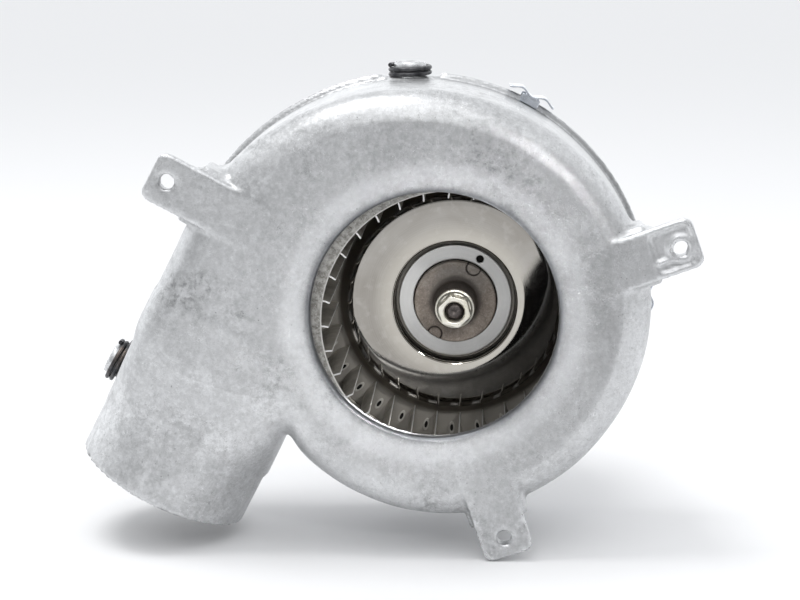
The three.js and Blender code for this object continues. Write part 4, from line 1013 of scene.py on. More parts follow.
def peg_axes(peg, x, y, z):
    """Distance from a peg's axis, and height above its wall."""
    (centre_x, centre_y, centre_z), normal, along = peg["centre"], peg["normal"], peg["along"]
    sideways = (x - centre_x) * along[0] + (z - centre_z) * along[1]
    height = (x - centre_x) * normal[0] + (z - centre_z) * normal[1]
    return np.sqrt(sideways * sideways + (y - centre_y) ** 2), height


def duct_field(along, across, y, inset):
    """The duct's section, which changes from round to nearly square inwards."""
    change = smoothstep(along, 19, 50)
    power = 2 + 3.2 * change
    deepen = smoothstep(along, 20, 36)
    front, back = 0.55 * deepen + inset, 60 - 2.2 * deepen - inset
    half_depth, middle = (back - front) / 2, (back + front) / 2
    half_width = 30.5 - 0.5 * change - inset
    over_width = np.abs(across - 0.3 * (1 - change)) / half_width
    over_depth = np.abs(y - middle) / half_depth
    total = np.power(over_width, power) + np.power(over_depth, power) + 1e-9
    return (np.power(total, 1 / power) - 1) * np.minimum(half_width, half_depth)


def add_lug(body, lug, x, y, z):
    out, side = turned_axes(x, z, lug["angle"])
    wall, end, side0 = lug["wall"], lug["end"], lug["side"]
    side1 = side0 + LUG_WIDTH
    pad = round_and(rect(out, side, wall - 8, wall + 3.2, side0 - 1.7, side1 + 1.7, 1.0),
                    slab(y, 2.4, 17), 1.6)
    body = join(body, pad, 1.6)
    # triangular webs behind the plate
    for web_side in (side0 + 1.4, side1 - 3.9):
        web_end = end - 9.5
        slope = np.array([27.0, (web_end - (wall + 2.6))])
        slope = slope / np.linalg.norm(slope)
        triangle = np.maximum((out - web_end) * slope[0] + (y - 3.2) * slope[1],
                              (wall - 4) - out)
        triangle = np.maximum(triangle, 1.0 - y)
        web = round_and(triangle, slab(side, web_side, web_side + WEB), 0.55)
        body = join(body, web, 1.5)
    plate = round_and(rect(out, side, lug["root"] - 8, end, side0, side1, 3.2),
                      slab(y, 0, 3.4), 0.5)
    body = join(body, plate, 1.1)
    hole_out, hole_side = lug["hole"]
    from_hole = dist(out, side, hole_out, hole_side)
    body = join(body, round_and(from_hole - 5.0, slab(y, 0.6, 5.4), 0.5), 0.9)
    if lug["kind"] == "pocket":
        pocket = rect(out, side, 68.0, end - 1.9, side0 + 1.9, side1 - 1.9, 2.2)
        pocket = np.maximum(pocket, -(from_hole - 4.6))
        pocket = np.maximum(pocket, -rect(out, side, 60, 76, -2.2, -0.6, 0.2))
        body = carve(body, common(pocket, y - 0.8, 0.4), 0.45)
    if lug["kind"] == "dimples":
        for more_out, more_side in ((-1.6, 6.6), (2.6, -5.2)):
            ball = np.sqrt((out - hole_out - more_out) ** 2 + (side - hole_side - more_side) ** 2
                           + (y + 1.1) ** 2) - 1.9
            body = carve(body, ball, 0.3)
    return body


def housing_field(x, y, z):
    outline = outline_distance(x, z)
    draft = 0.3 * np.clip((y - SHOULDER) / (DEPTH - SHOULDER), 0, 1)
    drum = round_and(outline - draft, FACE_Y - y, SHOULDER)
    drum = np.maximum(drum, y - DEPTH)
    flange = round_and(outline - FLANGE_OUT, slab(y, FLANGE_Y, DEPTH), 0.5)
    flange = carve(flange, np.maximum(peg_notch(x, z), 0), 0.6)
    # duct and round spigot
    along = (x - OUTLET[0]) * ALONG[0] + (z - OUTLET[2]) * ALONG[1]
    across = (x - OUTLET[0]) * ACROSS[0] + (z - OUTLET[2]) * ACROSS[1]
    duct = round_and(duct_field(along, across, y, 0.0), np.abs(along - 41) - 22.5, 0.35)
    body = join(drum, duct, 3.2)
    from_axis = np.sqrt(across * across + (y - OUTLET[1]) ** 2)
    spigot = round_and(from_axis - SPIGOT_R + 0.06, np.abs(along - 13) - 13, 0.5)
    body = join(body, spigot, 0.5)
    body = join(body, flange, 0.7)
    # round bases of the pegs
    for peg in PEGS:
        from_peg, height = peg_axes(peg, x, y, z)
        base = round_and(from_peg - 7.7, np.abs(height + 1.6) - 1.95, 0.3)
        body = join(body, base, 0.8)
    for lug in LUGS:
        body = add_lug(body, lug, x, y, z)
    # hollow
    inner = round_and(outline + WALL - draft, WALL - y, SHOULDER - WALL)
    passage = np.maximum(duct_field(along, across, y, WALL), np.abs(along - 38) - 24)
    inner = join(inner, passage, 2.0)
    inner = join(inner, np.maximum(from_axis - SPIGOT_BORE, along - 22), 1.0)
    body = carve(body, inner, 0.35)
    # inlet collar and its rolled mouth
    from_inlet = dist(x, z, *INLET_CENTRE)
    body = join(body, round_and(from_inlet - 42.6, slab(y, 1.5, 4.4), 0.6), 2.2)
    lip = np.where(from_inlet < 47.0, round_and(INLET_R - from_inlet, FACE_Y - y, 1.7),
                   F32(-50.0))
    body = np.maximum(body, lip)
    body = carve(body, from_inlet - INLET_R, 0.15)
    for lug in LUGS:
        out, side = turned_axes(x, z, lug["angle"])
        body = carve(body, dist(out, side, *lug["hole"]) - LUG_HOLE_R, 0.35)
    # pegs, each with a dimple in its end
    for peg in PEGS:
        from_peg, height = peg_axes(peg, x, y, z)
        stem = round_and(from_peg - 5.5, np.abs(height - 1.9) - 3.9, 0.7)
        stem = carve(stem, np.sqrt(from_peg * from_peg + (height - 6.4) ** 2) - 1.3, 0.3)
        body = join(body, stem, 0.4)
    return np.maximum(body, 0.02 - y)


housing = build_field(
    "scroll_housing_casting", "scroll_housing", housing_field,
    (HOLLOW_LOW[0], -1.8, HOLLOW_LOW[1]), (HOLLOW_HIGH[0], 60.2, HOLLOW_HIGH[1]), HOUSING_STEP,
    CASTING, "cast_aluminium", refine=True)


# ------------------------------------------------------------------ gasket and rear cover
def gasket_mesh():
    """A ring that follows the outline; its outer edge is chamfered."""
    front, back, chamfer, count = 58.3, 59.1, 0.15, 300
    outer, inner = outline_offset(1.4, count), outline_offset(-2.4, count)
    for ring in (outer, inner):
        notch = ((np.abs(ring[:, 0] - PEG_TOP["centre"][0]) < 10.6)
                 & (ring[:, 1] > TOP_WALL + 0.1))
        ring[notch, 1] = TOP_WALL + 0.1
    verts = []
    for out, inn in zip(outer, inner):
        cut = out - (out - inn) / max(1e-6, np.linalg.norm(out - inn)) * chamfer
        section = ((cut, front), (out, 58.5), (out, 58.9), (cut, back), (inn, back),
                   (inn, front))
        verts += [(point[0], y, point[1]) for point, y in section]
    faces = [(k * 6 + j, k * 6 + (j + 1) % 6, (k + 1) % count * 6 + (j + 1) % 6,
              (k + 1) % count * 6 + j) for k in range(count) for j in range(6)]
    return verts, faces


build("cover_gasket_ring", "cover_gasket", *gasket_mesh(), GASKET_RUBBER, "gasket",
      sharp=40, fix=True)


def cover_field(x, y, z):
    outline = outline_distance(x, z)
    under = COVER_Y1 - 2                   # raised features start inside the plate
    body = round_and(outline - (FLANGE_OUT - 0.3), slab(y, COVER_Y0, COVER_Y1), 0.55)
    rim = round_and(np.abs(outline + 10.8) - 1.7, slab(y, under, COVER_Y1 + 2.2), 0.8)
    body = join(body, rim, 1.6)
    reach = np.sqrt(x * x + z * z)
    body = join(body, round_and(reach - 12, slab(y, under, COVER_Y1 + 2.6), 0.6), 1.4)
    # radial ribs and the hollow posts that carry the motor
    for angle, place in zip(POST_ANGLES, POSTS):
        out, side = turned_axes(x, z, angle)
        rib = round_and(rect(out, side, 8, 52, -1.2, 1.2), slab(y, under, COVER_Y1 + 1.9), 0.5)
        body = join(body, rib, 1.2)
        from_post = dist(x, z, *place)
        post = round_and(from_post - (5.4 - 0.8 * np.clip((y - 62) / 12, 0, 1)),
                         slab(y, under, 74), 0.4)
        body = join(body, post, 1.8)
        body = carve(body, np.maximum(from_post - 2.35, 63.5 - y), 0.25)
    body = carve(body, peg_notch(x, z), 0.5)
    body = carve(body, np.maximum(reach - 8.3, y - (COVER_Y0 + 1.9)), 0.2)
    return carve(body, reach - 4.2, 0.3)


build_field("rear_cover_casting", "rear_cover", cover_field,
            (HOLLOW_LOW[0], 58.0, HOLLOW_LOW[1]), (HOLLOW_HIGH[0], 75.6, HOLLOW_HIGH[1]),
            HOUSING_STEP, COVER_CASTING, "cast_aluminium", refine=True)

# ------------------------------------------------------------------ impeller
BLADE_THICK = 0.5
BLADE_YS = [12.4, 14.0, 26.0, 40.0, 53.0, 54.8]
RING_Y = 12.0                              # front face of the front ring
CAGE_BACK = 54.8                           # back of the rear ring


def blade_point(turn, part):
    """Radius and angle at a part (0 to 1) of the way out along a blade."""
    return (BLADE_IN + (WHEEL_R - 1.2 - BLADE_IN) * part,
            turn + 0.005 - 0.085 * part + 0.19 * part * part)


def blade_section(turn, steps=9):
    """Closed (x, z) outline of a blade."""
    points = []
    for i in range(steps + 1):
        radius, angle = blade_point(turn, i / steps)
        points.append((radius * math.cos(angle), radius * math.sin(angle)))
    points = np.array(points)
    tangent = np.gradient(points, axis=0)
    tangent /= np.linalg.norm(tangent, axis=1)[:, None]
    half = np.stack([-tangent[:, 1], tangent[:, 0]], 1) * BLADE_THICK / 2
    return [*(points + half), points[-1] + tangent[-1] * 0.12, *(points - half)[::-1],
            points[0] - tangent[0] * 0.22]


def cage_mesh():
    verts, faces = [], []
    for blade in range(BLADES):
        turn = blade / BLADES * 2 * pi + BLADE_TURN
        section = blade_section(turn)
        count, base = len(section), len(verts)
        for y in BLADE_YS:
            verts += [(point[0], y, point[1]) for point in section]
        for j in range(len(BLADE_YS) - 1):
            row, ahead = base + j * count, base + (j + 1) * count
            for i in range(count):
                i2 = (i + 1) % count
                faces.append((row + i, row + i2, ahead + i2, ahead + i))
        for row in (0, len(BLADE_YS) - 1):
            faces.append(tuple(base + row * count + i for i in range(count)))
        # tabs in front of the ring, two per blade
        for part in (0.42, 0.78):
            radius, angle = blade_point(turn, part)
            out = np.array([math.cos(angle), math.sin(angle)])
            side = np.array([-math.sin(angle), math.cos(angle)])
            base = len(verts)
            for y, taper in ((11.95, 1.0), (11.55, 0.8)):
                for du, dv in ((-1.5, -0.5), (1.5, -0.5), (1.5, 0.5), (-1.5, 0.5)):
                    place = radius * out + out * du * taper + side * dv * taper
                    verts.append((place[0], y, place[1]))
            for face in ((0, 1, 5, 4), (1, 2, 6, 5), (2, 3, 7, 6), (3, 0, 4, 7), (4, 5, 6, 7),
                         (3, 2, 1, 0)):
                faces.append(tuple(base + i for i in face))
    # front ring with its outer lip, then the rear ring; (r, y, corner radius)
    for profile in (
        [(RING_R, RING_Y, 0.4), (WHEEL_R, RING_Y, 1.2), (WHEEL_R, 15.0, 0.3),
         (WHEEL_R - 0.8, 15.0, 0.3), (WHEEL_R - 0.8, 12.9, 0.5), (RING_R, 12.9, 0.4)],
        [(WHEEL_R - 3.4, 53.8, 0.3), (WHEEL_R - 0.4, 53.8, 0.3),
         (WHEEL_R - 0.4, CAGE_BACK, 0.3), (WHEEL_R - 3.4, CAGE_BACK, 0.3)],
    ):
        ring_verts, ring_faces = lathe(fillet(profile), 144)
        base = len(verts)
        verts += [tuple(point) for point in ring_verts]
        faces += [tuple(int(i) + base for i in quad) for quad in ring_faces]
    return verts, faces


build("impeller_blades_and_ring", "impeller_blade_cage", *cage_mesh(), CAGE_STEEL,
      "impeller_steel", "rotor", sharp=38, fix=True)

# The disc's section as (r, y, corner radius): out along the front, back along the rear.
DISC_PROFILE = [
    (8.2, 53.4), (20.75, 53.4, 0.3), (21.15, 47.0, 0.9), (24.3, 47.0), (33.2, 47.0),
    (36.9, 47.0, 2.6), (40.9, 55.1, 2.2), (WHEEL_R, 55.1, 0.25), (WHEEL_R, 55.9, 0.25),
    (40.6, 55.9, 2.0), (36.6, 47.8, 2.4), (21.95, 47.8, 0.3), (21.5, 54.2, 0.5), (8.2, 54.2),
]
build_ring("impeller_back_disc_pressing", "impeller_back_disc", DISC_PROFILE, DISC_STEEL,
           "impeller_steel", "rotor", segments=160, corner_steps=8)


def hub_plate_field(x, y, z):
    """Flat ring with one small hole."""
    reach = np.sqrt(x * x + z * z)
    body = round_and(np.maximum(reach - 19.6, 14.4 - reach), slab(y, 50.6, 51.6), 0.22)
    (hole,) = ring_places(16.9, (60,))
    return carve(body, dist(x, z, *hole) - 1.25, 0.15)


build_field("impeller_hub_plate_turned", "impeller_hub_plate", hub_plate_field,
            (-20.6, 49.8, -20.6), (20.6, 52.2, 20.6), 0.28, PLATE_STEEL, "plate_steel", "rotor")


def hub_field(x, y, z):
    """Flange with a long boss in front and a short one behind."""
    reach = np.sqrt(x * x + z * z)
    front = 48.0 + 0.4 * np.clip((14 - reach) / 6.5, 0, 1)
    body = round_and(reach - 14.15, slab(y, front, 52), 0.35)
    boss_r = 7.05 + 0.25 * np.clip((y - 36.6) / 6, 0, 1)
    body = join(body, round_and(reach - boss_r, slab(y, 36.6, 50), 0.45), 1.3)
    body = join(body, round_and(reach - 7.8, slab(y, 50, 56.6), 0.3), 0.3)
    for mark in HUB_MARKS:
        groove = np.abs(dist(x, z, *mark) - HUB_MARK_R) - 0.2
        body = carve(body, np.maximum(groove, y - 48.9), 0.12)
    return carve(body, reach - BORE_R, 0.2)


build_field("impeller_hub_sintered", "impeller_hub", hub_field, (-15.4, 35.6, -15.4),
            (15.4, 57.6, 15.4), 0.34, HUB_IRON, "sintered_iron", "rotor")


def flange_nut_field(x, y, z):
    """Hexagon with a chamfered front, a skirt and a flange at the back."""
    front, back = 29.7, 36.3
    reach = np.sqrt(x * x + z * z)
    half_flats = 5.7 * math.cos(pi / 6)
    body = None
    for i in range(3):
        angle = i * pi / 3 + rad(15)
        flats = np.abs(x * math.cos(angle) + z * math.sin(angle)) - half_flats
        body = flats if body is None else common(body, flats, 0.08)
    body = round_and(body, slab(y, front, 35.6), 0.08)
    body = common(body, (reach - 5.42) * 0.62 - (y - front) * 0.78, 0.08)
    skirt = np.maximum(reach - (5.5 + 0.9 * np.clip((y - 34.6) / 1.1, 0, 1.2)),
                       slab(y, 34.6, back))
    body = join(body, skirt, 0.4)
    body = join(body, round_and(reach - 6.7, slab(y, 35.35, back), 0.3), 0.3)
    body = carve(body, reach - BORE_R, 0.15)
    countersink = np.maximum((reach - 3.75) * 0.75 + (y - front) * 0.65, y - 31.0)
    return carve(body, countersink, 0.12)


build_field("impeller_flange_nut", "impeller_nut", flange_nut_field, (-7.3, 29.1, -7.3),
            (7.3, 36.8, 7.3), 0.15, NUT_STEEL, "plated_steel", "rotor", refine=True, sharp=32)

# ------------------------------------------------------------------ shaft
# (r, y) from the dimpled nose, through five turns of thread, to the tail
SHAFT_PROFILE = [(0.0, 31.2), (0.5, 31.1), (0.75, 30.95), (0.9, NOSE), (2.05, NOSE), (2.2, 31.0),
                 (2.6, 31.9)]
for turn in range(5):
    SHAFT_PROFILE += [(radius, 32.3 + turn + step) for radius, step in
                      ((2.98, 0.0), (2.98, 0.12), (2.62, 0.5), (2.98, 0.88))]
SHAFT_PROFILE += [(SHAFT_R, 36.9), (SHAFT_R, 118.2), (2.9, 118.5), (2.5, 119.0), (0.9, 119.0),
                  (0.6, 118.8), (0.0, 118.5)]
shaft = build("motor_shaft_ground", "motor_shaft", *lathe(SHAFT_PROFILE, 64, closed=False),
              SHAFT_STEEL, "shaft_steel", "rotor", sharp=35)
# the end points lie on the axis, so their rings close to single vertices
with_bmesh(shaft.data, merge=1e-6)
shaft.data.set_sharp_from_angle(angle=rad(35))

# ------------------------------------------------------------------ retaining springs
COIL_R, WIRE_R, COIL_START, COIL_PITCH = 6.65, 0.75, 1.35, 1.62


def build_spring(name, node, peg, hand, tail):
    """Two turns round a peg; the tail, as (along, height), lies behind the cover."""
    (centre_x, centre_y, centre_z), normal, along = peg["centre"], peg["normal"], peg["along"]
    back = COVER_Y1 + 0.3 + WIRE_R + 0.25 - centre_y
    side = -hand * COIL_R

    def place(sideways, y, height):
        return np.array((centre_x + along[0] * sideways + normal[0] * height, centre_y + y,
                         centre_z + along[1] * sideways + normal[1] * height), float)
    points = [place(sideways, back, height) for sideways, height in tail]
    points += [place(side, back - 0.7, COIL_START - 0.1), place(side, back * 0.55, COIL_START),
               place(side, 2.0, COIL_START)]
    steps = 48
    for i in range(steps + 1):
        angle = i / steps * 4 * pi
        points.append(place(side * math.cos(angle), -COIL_R * math.sin(angle),
                            COIL_START + COIL_PITCH * angle / (2 * pi)))
    points.append(place(side, -2.4, COIL_START + COIL_PITCH * 2))
    points = [2 * points[0] - points[1]] + points + [2 * points[-1] - points[-2]]
    path = []
    for i in range(1, len(points) - 2):
        length = np.linalg.norm(points[i + 1] - points[i])
        path += spline_span(*points[i - 1:i + 3], max(2, int(length / 0.35)))
    path.append(points[-2])
    build(name, node, *sweep(path, WIRE_R), SPRING_WIRE, "spring_wire", sharp=60, fix=True)


build_spring("retaining_spring_top_wire", "retaining_spring_top", PEG_TOP, 1,
             [(-COIL_R + 2.2, -6.8), (-COIL_R + 0.9, -3.0), (-COIL_R + 0.2, -0.2)])
build_spring("retaining_spring_left_wire", "retaining_spring_left", PEG_LEFT, -1,
             [(COIL_R + 18, -4.5), (COIL_R + 6, -1.0), (COIL_R + 1.2, 1.0)])

# ------------------------------------------------------------------ rim clips
CLIP_HALF, CLIP_THICK, CLIP_BOW = 8.6, 0.7, 1.5


def clip_field(along, y, height):
    """A strip with two bows, and a leg at each end over the flange and the cover."""
    bow = 0.75 + CLIP_THICK / 2 + CLIP_BOW * np.sin(pi * (along + CLIP_HALF) / CLIP_HALF) ** 2
    slope = CLIP_BOW * (pi / CLIP_HALF) * np.sin(2 * pi * (along + CLIP_HALF) / CLIP_HALF)
    front, back = FLANGE_Y - 1.3, COVER_Y1 + 1.1
    body = (np.abs(height - bow) - CLIP_THICK / 2) / np.sqrt(1 + slope * slope)
    body = round_and(body, rect(along, y, -CLIP_HALF, CLIP_HALF, front, back, 0.8), 0.18)
    for bottom, y0, y1 in ((-1.7, front, FLANGE_Y - 0.5), (-4.2, COVER_Y1 + 0.3, back)):
        leg = round_and(rect(along, height, -3.4, 3.4, bottom, 1.2, 0.6), slab(y, y0, y1), 0.18)
        body = join(body, leg, 0.5)
    return body


clip_verts, clip_quads, clip_marks = surface(clip_field, (-9.4, 52.4, -5.0), (9.4, 63.8, 3.8),
                                             0.22)
rim = outline_offset(FLANGE_OUT, 1440)
rim_angles = np.degrees(np.arctan2(rim[:, 1], rim[:, 0]))
for where, angle in (("upper", 70), ("right", 2.5), ("bottom", -62)):
    i = int(np.argmin(np.abs((rim_angles - angle + 180) % 360 - 180)))
    ahead = rim[(i + 1) % len(rim)] - rim[i - 1]
    ahead /= np.linalg.norm(ahead)
    normal = np.array([ahead[1], -ahead[0]])
    along = np.array([-normal[1], normal[0]])
    placed = clip_verts.copy()
    for column, k in ((0, 0), (2, 1)):
        placed[:, column] = (rim[i][k] + along[k] * clip_verts[:, 0]
                             + normal[k] * clip_verts[:, 2])
    build(f"rim_clip_{where}_strip", f"rim_clip_{where}", placed, clip_quads[:, ::-1],
          CLIP_STEEL, "clip_steel", marks=clip_marks, fix=True)

# ------------------------------------------------------------------ motor
BOLT_X = 25.2                              # the two long motor screws, left and right
BOLT_HOLE_R, BUSH_SEAT_R, BEARING_R = 2.35, 5.5, 10.5
FRONT_ARM_Y, REAR_ARM_Y = (77, 80.2), (108.2, 111.4)


def front_bracket_field(x, y, z):
    """Bearing housing with three arms to the posts and a bar across to the screws."""
    reach = np.sqrt(x * x + z * z)
    body = round_and(reach - BEARING_R, slab(y, 74.2, FRONT_ARM_Y[1]), 0.6)
    arm_depth = slab(y, *FRONT_ARM_Y)
    for angle, place in zip(POST_ANGLES, POSTS):
        out, side = turned_axes(x, z, angle)
        body = join(body, round_and(rect(out, side, 0, POST_R, -4.2, 4.2), arm_depth, 0.5), 1.4)
        body = join(body, round_and(dist(x, z, *place) - 6.2, arm_depth, 0.5), 0.8)
    bar = round_and(rect(x, z, -BOLT_X, BOLT_X, -4.6, 4.6), arm_depth, 0.5)
    body = join(body, bar, 1.4)
    for bolt_x in (-BOLT_X, BOLT_X):
        eye = round_and(dist(x, z, bolt_x) - 4.6, slab(y, FRONT_ARM_Y[0], 83.7), 0.3)
        body = join(body, eye, 0.6)
    body = carve(body, reach - BUSH_SEAT_R, 0.2)
    for bolt_x in (-BOLT_X, BOLT_X):
        body = carve(body, dist(x, z, bolt_x) - BOLT_HOLE_R, 0.2)
    for place in POSTS:
        body = carve(body, dist(x, z, *place) - 2.5, 0.2)
    return body


build_field("front_bearing_bracket_casting", "front_bearing_bracket", front_bracket_field,
            (-40.5, 73.2, -45.0), (40.5, 84.8, 26.5), 0.6, BRACKET_CASTING, "cast_aluminium")


def rear_bracket_field(x, y, z):
    """Bearing housing on a bar between the two long screws."""
    reach = np.sqrt(x * x + z * z)
    body = round_and(reach - BEARING_R, slab(y, REAR_ARM_Y[0], 116.6), 0.8)
    bar = round_and(rect(x, z, -BOLT_X, BOLT_X, -5, 5), slab(y, *REAR_ARM_Y), 0.5)
    body = join(body, bar, 1.6)
    for bolt_x in (-BOLT_X, BOLT_X):
        from_bolt = dist(x, z, bolt_x)
        body = join(body, round_and(from_bolt - 5, slab(y, 104.3, REAR_ARM_Y[1]), 0.4), 0.6)
        body = carve(body, from_bolt - BOLT_HOLE_R, 0.2)
    return carve(body, reach - BUSH_SEAT_R, 0.3)


build_field("rear_bearing_bracket_casting", "rear_bearing_bracket", rear_bracket_field,
            (-31.5, 103.3, -11.8), (31.5, 117.8, 11.8), 0.45, BRACKET_CASTING, "cast_aluminium")


def fan_wheel_field(x, y, z):
    """Disc with a hub and eight straight vanes on its back."""
    reach = np.sqrt(x * x + z * z)
    body = round_and(reach - 29.5, slab(y, 68.0, 69.2), 0.4)
    body = join(body, round_and(reach - 7.0, slab(y, 66.0, 73.4), 0.4), 0.8)
    for k in range(8):
        out, side = turned_axes(x, z, k * 45 + 10)
        vane = round_and(rect(out, side, 6.5, 28.8, -0.6, 0.6), slab(y, 68.4, 73.0), 0.3)
        body = join(body, vane, 0.5)
    return carve(body, reach - BORE_R, 0.2)


build_field("cooling_fan_wheel_moulding", "cooling_fan_wheel", fan_wheel_field,
            (-30.6, 65.2, -30.6), (30.6, 74.4, 30.6), 0.5, BLACK_PLASTIC, "black_plastic",
            "rotor")


def winding_field(x, y, z):
    """Block with a rectangular hole through it along X."""
    body = round_and(rect(y, z, 75.0, 113.0, 24.4, 55.7, 4.2), np.abs(x) - 15.7, 0.5)
    return np.maximum(body, -rect(y, z, 82.3, 105.7, 32.3, 47.7, 0.3))


build_field("coil_winding_taped", "coil_winding", winding_field, (-16.6, 74.0, 23.4),
            (16.6, 114.0, 56.8), 0.55, COIL_TAPE, "coil_tape")


def screw_field(place, head, shank, slot_floor, head_round, shank_blend):
    """Cross-slotted screw; head and shank are (front, back) in y."""
    def field(x, y, z):
        from_axis = dist(x, z, *place)
        dome = 0.5 * np.clip((y - head[0]) / (head[1] - head[0]), 0, 1) ** 2
        body = round_and(from_axis - (3.7 - dome), slab(y, *head), head_round)
        body = join(body, np.maximum(from_axis - 2.0, slab(y, *shank)), shank_blend)
        right, up = x - place[0], z - place[1]
        cross = np.minimum(rect(right, up, -0.5, 0.5, -2.4, 2.4, 0.2),
                           rect(right, up, -2.4, 2.4, -0.5, 0.5, 0.2))
        return carve(body, np.maximum(cross, slot_floor - y), 0.12)
    return field


# (r, y, corner radius): a rubber ring with a groove round it
DAMPER_PROFILE = [(2.5, 74.3, 0.3), (6.6, 74.3, 0.7), (7.0, 75.1, 0.5), (6.1, 75.5, 0.4),
                  (7.0, 75.9, 0.5), (6.6, 76.7, 0.7), (2.5, 76.7, 0.3)]
for i, (x, z) in enumerate(POSTS, 1):
    build_ring(f"motor_damper_{i}_rubber", f"motor_damper_{i}", DAMPER_PROFILE, DAMPER_RUBBER,
               "damper_rubber", centre=(x, z))
    mount_screw = screw_field((x, z), head=(80.5, 83.1), shank=(78, 81), slot_floor=81.7,
                              head_round=0.5, shank_blend=0.2)
    build_field(f"motor_mount_screw_{i}_head", f"motor_mount_screw_{i}", mount_screw,
                (x - 4.4, 78.4, z - 4.4), (x + 4.4, 83.7, z + 4.4), 0.2, SCREW_STEEL,
                "plated_steel")


def motor_nut_field(centre_x):
    """Hexagon nut, chamfered at both ends."""
    def field(x, y, z):
        from_axis = dist(x, z, centre_x)
        body = None
        for i in range(3):
            angle = i * pi / 3 + pi / 6
            flats = (np.abs((x - centre_x) * math.sin(angle) + z * math.cos(angle))
                     - 4.0 * math.cos(pi / 6))
            body = flats if body is None else np.maximum(body, flats)
        body = round_and(body, slab(y, 73.9, 76.7), 0.2)
        chamfer = (from_axis - 3.75) * 0.86 + np.maximum(np.abs(y - 75.3) - 0.9, 0) * 0.7
        body = common(body, chamfer, 0.15)
        return carve(body, from_axis - 2.3, 0.15)
    return field


for side, x, head_front in (("left", -BOLT_X, 112.9), ("right", BOLT_X, 111.7)):
    bolt = screw_field((x, 0.0), head=(head_front, 114.8), shank=(73.0, 113.5),
                       slot_floor=113.6, head_round=0.45, shank_blend=0.15)
    build_field(f"motor_screw_{side}_bolt", f"motor_screw_{side}", bolt, (x - 4.4, 72.2, -4.4),
                (x + 4.4, 115.4, 4.4), 0.28, SCREW_STEEL, "plated_steel")
    build_field(f"motor_nut_{side}_hex", f"motor_nut_{side}", motor_nut_field(x),
                (x - 4.8, 73.2, -4.8), (x + 4.8, 77.4, 4.8), 0.22, SCREW_STEEL, "plated_steel")

for node, y0, y1 in (("front_bearing_bush", 74.4, 80.0), ("rear_bearing_bush", 108.6, 116.2)):
    build_ring(node + "_sintered", node,
               [(BORE_R, y0, 0.3), (4.6, y0, 0.3), (5.2, y0 + 0.8, 0.3), (5.2, y1 - 0.8, 0.3),
                (4.6, y1, 0.3), (BORE_R, y1, 0.3)], BRONZE, "sintered_bronze")
for node, y0 in (("thrust_washer_front", 80.6), ("thrust_washer_rear", 107.0)):
    build_ring(node + "_disc", node,
               [(BORE_R, y0, 0.15), (6.4, y0, 0.2), (6.4, y0 + 0.8, 0.2),
                (BORE_R, y0 + 0.8, 0.15)], WHITE_PLASTIC, "white_plastic")


# ------------------------------------------------------------------ CAD nodes that stay
def dress(node, mat, bevel):
    """Gives a CAD piece its material and small bevels."""
    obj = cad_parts[node]
    obj.data.materials.clear()
    obj.data.materials.append(mat)
    obj.data.polygons.foreach_set("use_smooth", [True] * len(obj.data.polygons))
    obj.modifiers.new("weld", "WELD").merge_threshold = 1e-6
    modifier = obj.modifiers.new("bevel", "BEVEL")
    modifier.width = bevel * MM
    modifier.segments = 2
    modifier.limit_method = "ANGLE"
    modifier.angle_limit = rad(35)
    modifier.harden_normals = True
    modifier.use_clamp_overlap = True


for node, mat, bevel in (
    ("shaft_seal", SEAL, 0.2), ("stator_core", LAMINATION, 0.25),
    ("stator_coil_bar", LAMINATION, 0.25), ("rotor_core", LAMINATION, 0.2),
    ("coil_bobbin", WHITE_PLASTIC, 0.3), ("terminal_tab_1", TIN, 0.18),
    ("terminal_tab_2", TIN, 0.18), ("earth_tab", TIN, 0.15),
    ("shading_ring_right", COPPER, 0.3), ("shading_ring_left", COPPER, 0.3),
):
    dress(node, mat, bevel)


# ------------------------------------------------------------------ floor
def flat_quad(name, corners, height, mat):
    """A level quad from (x, y) corners, in metres."""
    mesh = bpy.data.meshes.new(name)
    mesh.from_pydata([(x, y, height) for x, y in corners], [], [(0, 1, 2, 3)])
    obj = bpy.data.objects.new(name, mesh)
    bpy.context.scene.collection.objects.link(obj)
    mesh.materials.append(mat)
    return obj


lo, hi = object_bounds()
floor_z = min(cad_lo.z, lo.z) - 0.0002
FLOOR_HALF = 14.0
floor = flat_quad(
    "floor", [(-FLOOR_HALF, -3.0), (FLOOR_HALF, -3.0), (FLOOR_HALF, 2 * FLOOR_HALF),
              (-FLOOR_HALF, 2 * FLOOR_HALF)], floor_z,
    Material("floor_pale").finish(color=(0.85, 0.85, 0.855), rough=0.85, spec=0.1))
floor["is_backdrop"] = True

# ------------------------------------------------------------------ world
# a pale room: bright overhead and behind, dimmer on the camera's side and to the right
FRONT_LIGHT, BACK_LIGHT, TOP_LIGHT = 0.45, 1.42, 1.00
world = bpy.data.worlds.new("studio")
bpy.context.scene.world = world
world.use_nodes = True
room = Nodes(world.node_tree)
right, away, up = room.split(room.make("ShaderNodeTexCoord", {}, "Generated"))
walls = away.ramp(span=(-0.45, 0.35), out=(FRONT_LIGHT, BACK_LIGHT), smooth=True)
walls = walls * right.ramp(span=(-0.7, 0.8), out=(1.12, 0.86), smooth=True)
overhead = up.ramp(span=(0.25, 0.85), smooth=True)
level = walls * (1.0 - overhead) + overhead * TOP_LIGHT
# slightly cool
tint = room.make("ShaderNodeCombineColor", {0: level * 0.985, 1: level, 2: level * 1.02})
background = room.make("ShaderNodeBackground", {0: tint, 1: 1.0})
room.add("ShaderNodeOutputWorld", {0: background})


# ------------------------------------------------------------------ lights
def add_light(name, kind, place, power, target=None, **settings):
    data = bpy.data.lights.new(name, kind)
    data.energy = power
    for key, value in settings.items():
        setattr(data, key, value)
    obj = bpy.data.objects.new(name, data)
    obj.location = place
    if target is not None:
        direction = Vector(target) - Vector(place)
        obj.rotation_euler = direction.to_track_quat("-Z", "Y").to_euler()
    bpy.context.scene.collection.objects.link(obj)
    return obj


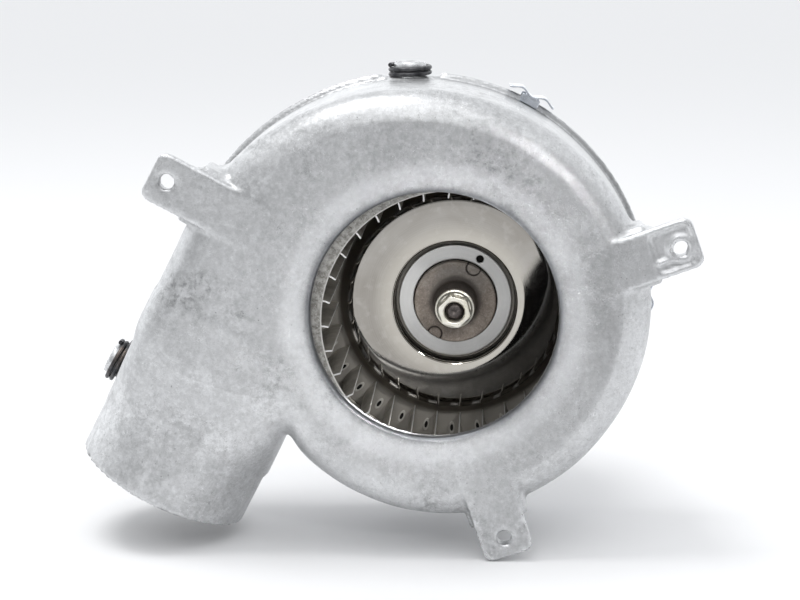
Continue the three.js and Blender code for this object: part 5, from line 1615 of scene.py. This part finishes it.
def add_area(name, place, target, size, power):
    add_light(name, "AREA", place, power, target, shape="RECTANGLE", size=size, size_y=size)


add_area("key_top_left", place=(-0.36, -0.02, 1.15), target=(0, 0, 0), size=0.42, power=5.2)
add_area("front_top", place=(0.0, -0.70, 1.30), target=(0, -0.3, -0.08), size=0.9, power=3.1)
add_area("camera_fill", place=(-0.05, -0.62, 0.42), target=(0, 0, 0), size=0.22, power=0.35)

# a low light behind the front wall, for the casting alone
inside = add_light("inside_scroll", "POINT", place=(-0.022, -0.006, -0.030), power=0.045,
                   shadow_soft_size=0.012)
lit = bpy.data.collections.new("lit_from_inside")
lit.objects.link(housing)
inside.light_linking.receiver_collection = lit

# light through the inlet, onto the blades
INLET_TARGET = (-0.006, -0.031, 0.003)
for name, place, power, half_angle in (
    ("inlet_from_right", (0.26, -0.52, 0.30), 7.0, 3.6),
    ("inlet_from_front", (-0.02, -0.62, 0.22), 2.6, 3.5),
):
    add_light(name, "SPOT", place, power, INLET_TARGET, spot_size=rad(2 * half_angle),
              spot_blend=0.35, shadow_soft_size=0.03)

# a dark card on the floor in front, seen only in reflections
card = flat_quad(
    "dark_card", [(-0.0015, -0.17), (0.085, -0.17), (0.30, -1.3), (0.150, -1.3)],
    floor_z + 0.0008,
    Material("card_black").finish(color=(0.004, 0.004, 0.004), rough=1.0, spec=0.0))
card.visible_camera = False
card.visible_diffuse = False
card.visible_shadow = False
card.visible_transmission = False
card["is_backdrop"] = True

# ------------------------------------------------------------------ camera
lens = bpy.data.cameras.new("camera")
lens.lens = 83.0
lens.sensor_width = 36.0
lens.clip_start, lens.clip_end = 0.02, 60
camera = bpy.data.objects.new("camera", lens)
bpy.context.scene.collection.objects.link(camera)
camera.location = (0.0088, (-579.0 - NOSE) * MM, 0.1223)
camera.rotation_euler = (rad(90 - 10.981), 0, rad(2.550))
bpy.context.scene.camera = camera

bpy.context.scene.view_settings.view_transform = "Standard"
bpy.context.scene.view_settings.exposure = 0.0

lo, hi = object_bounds()
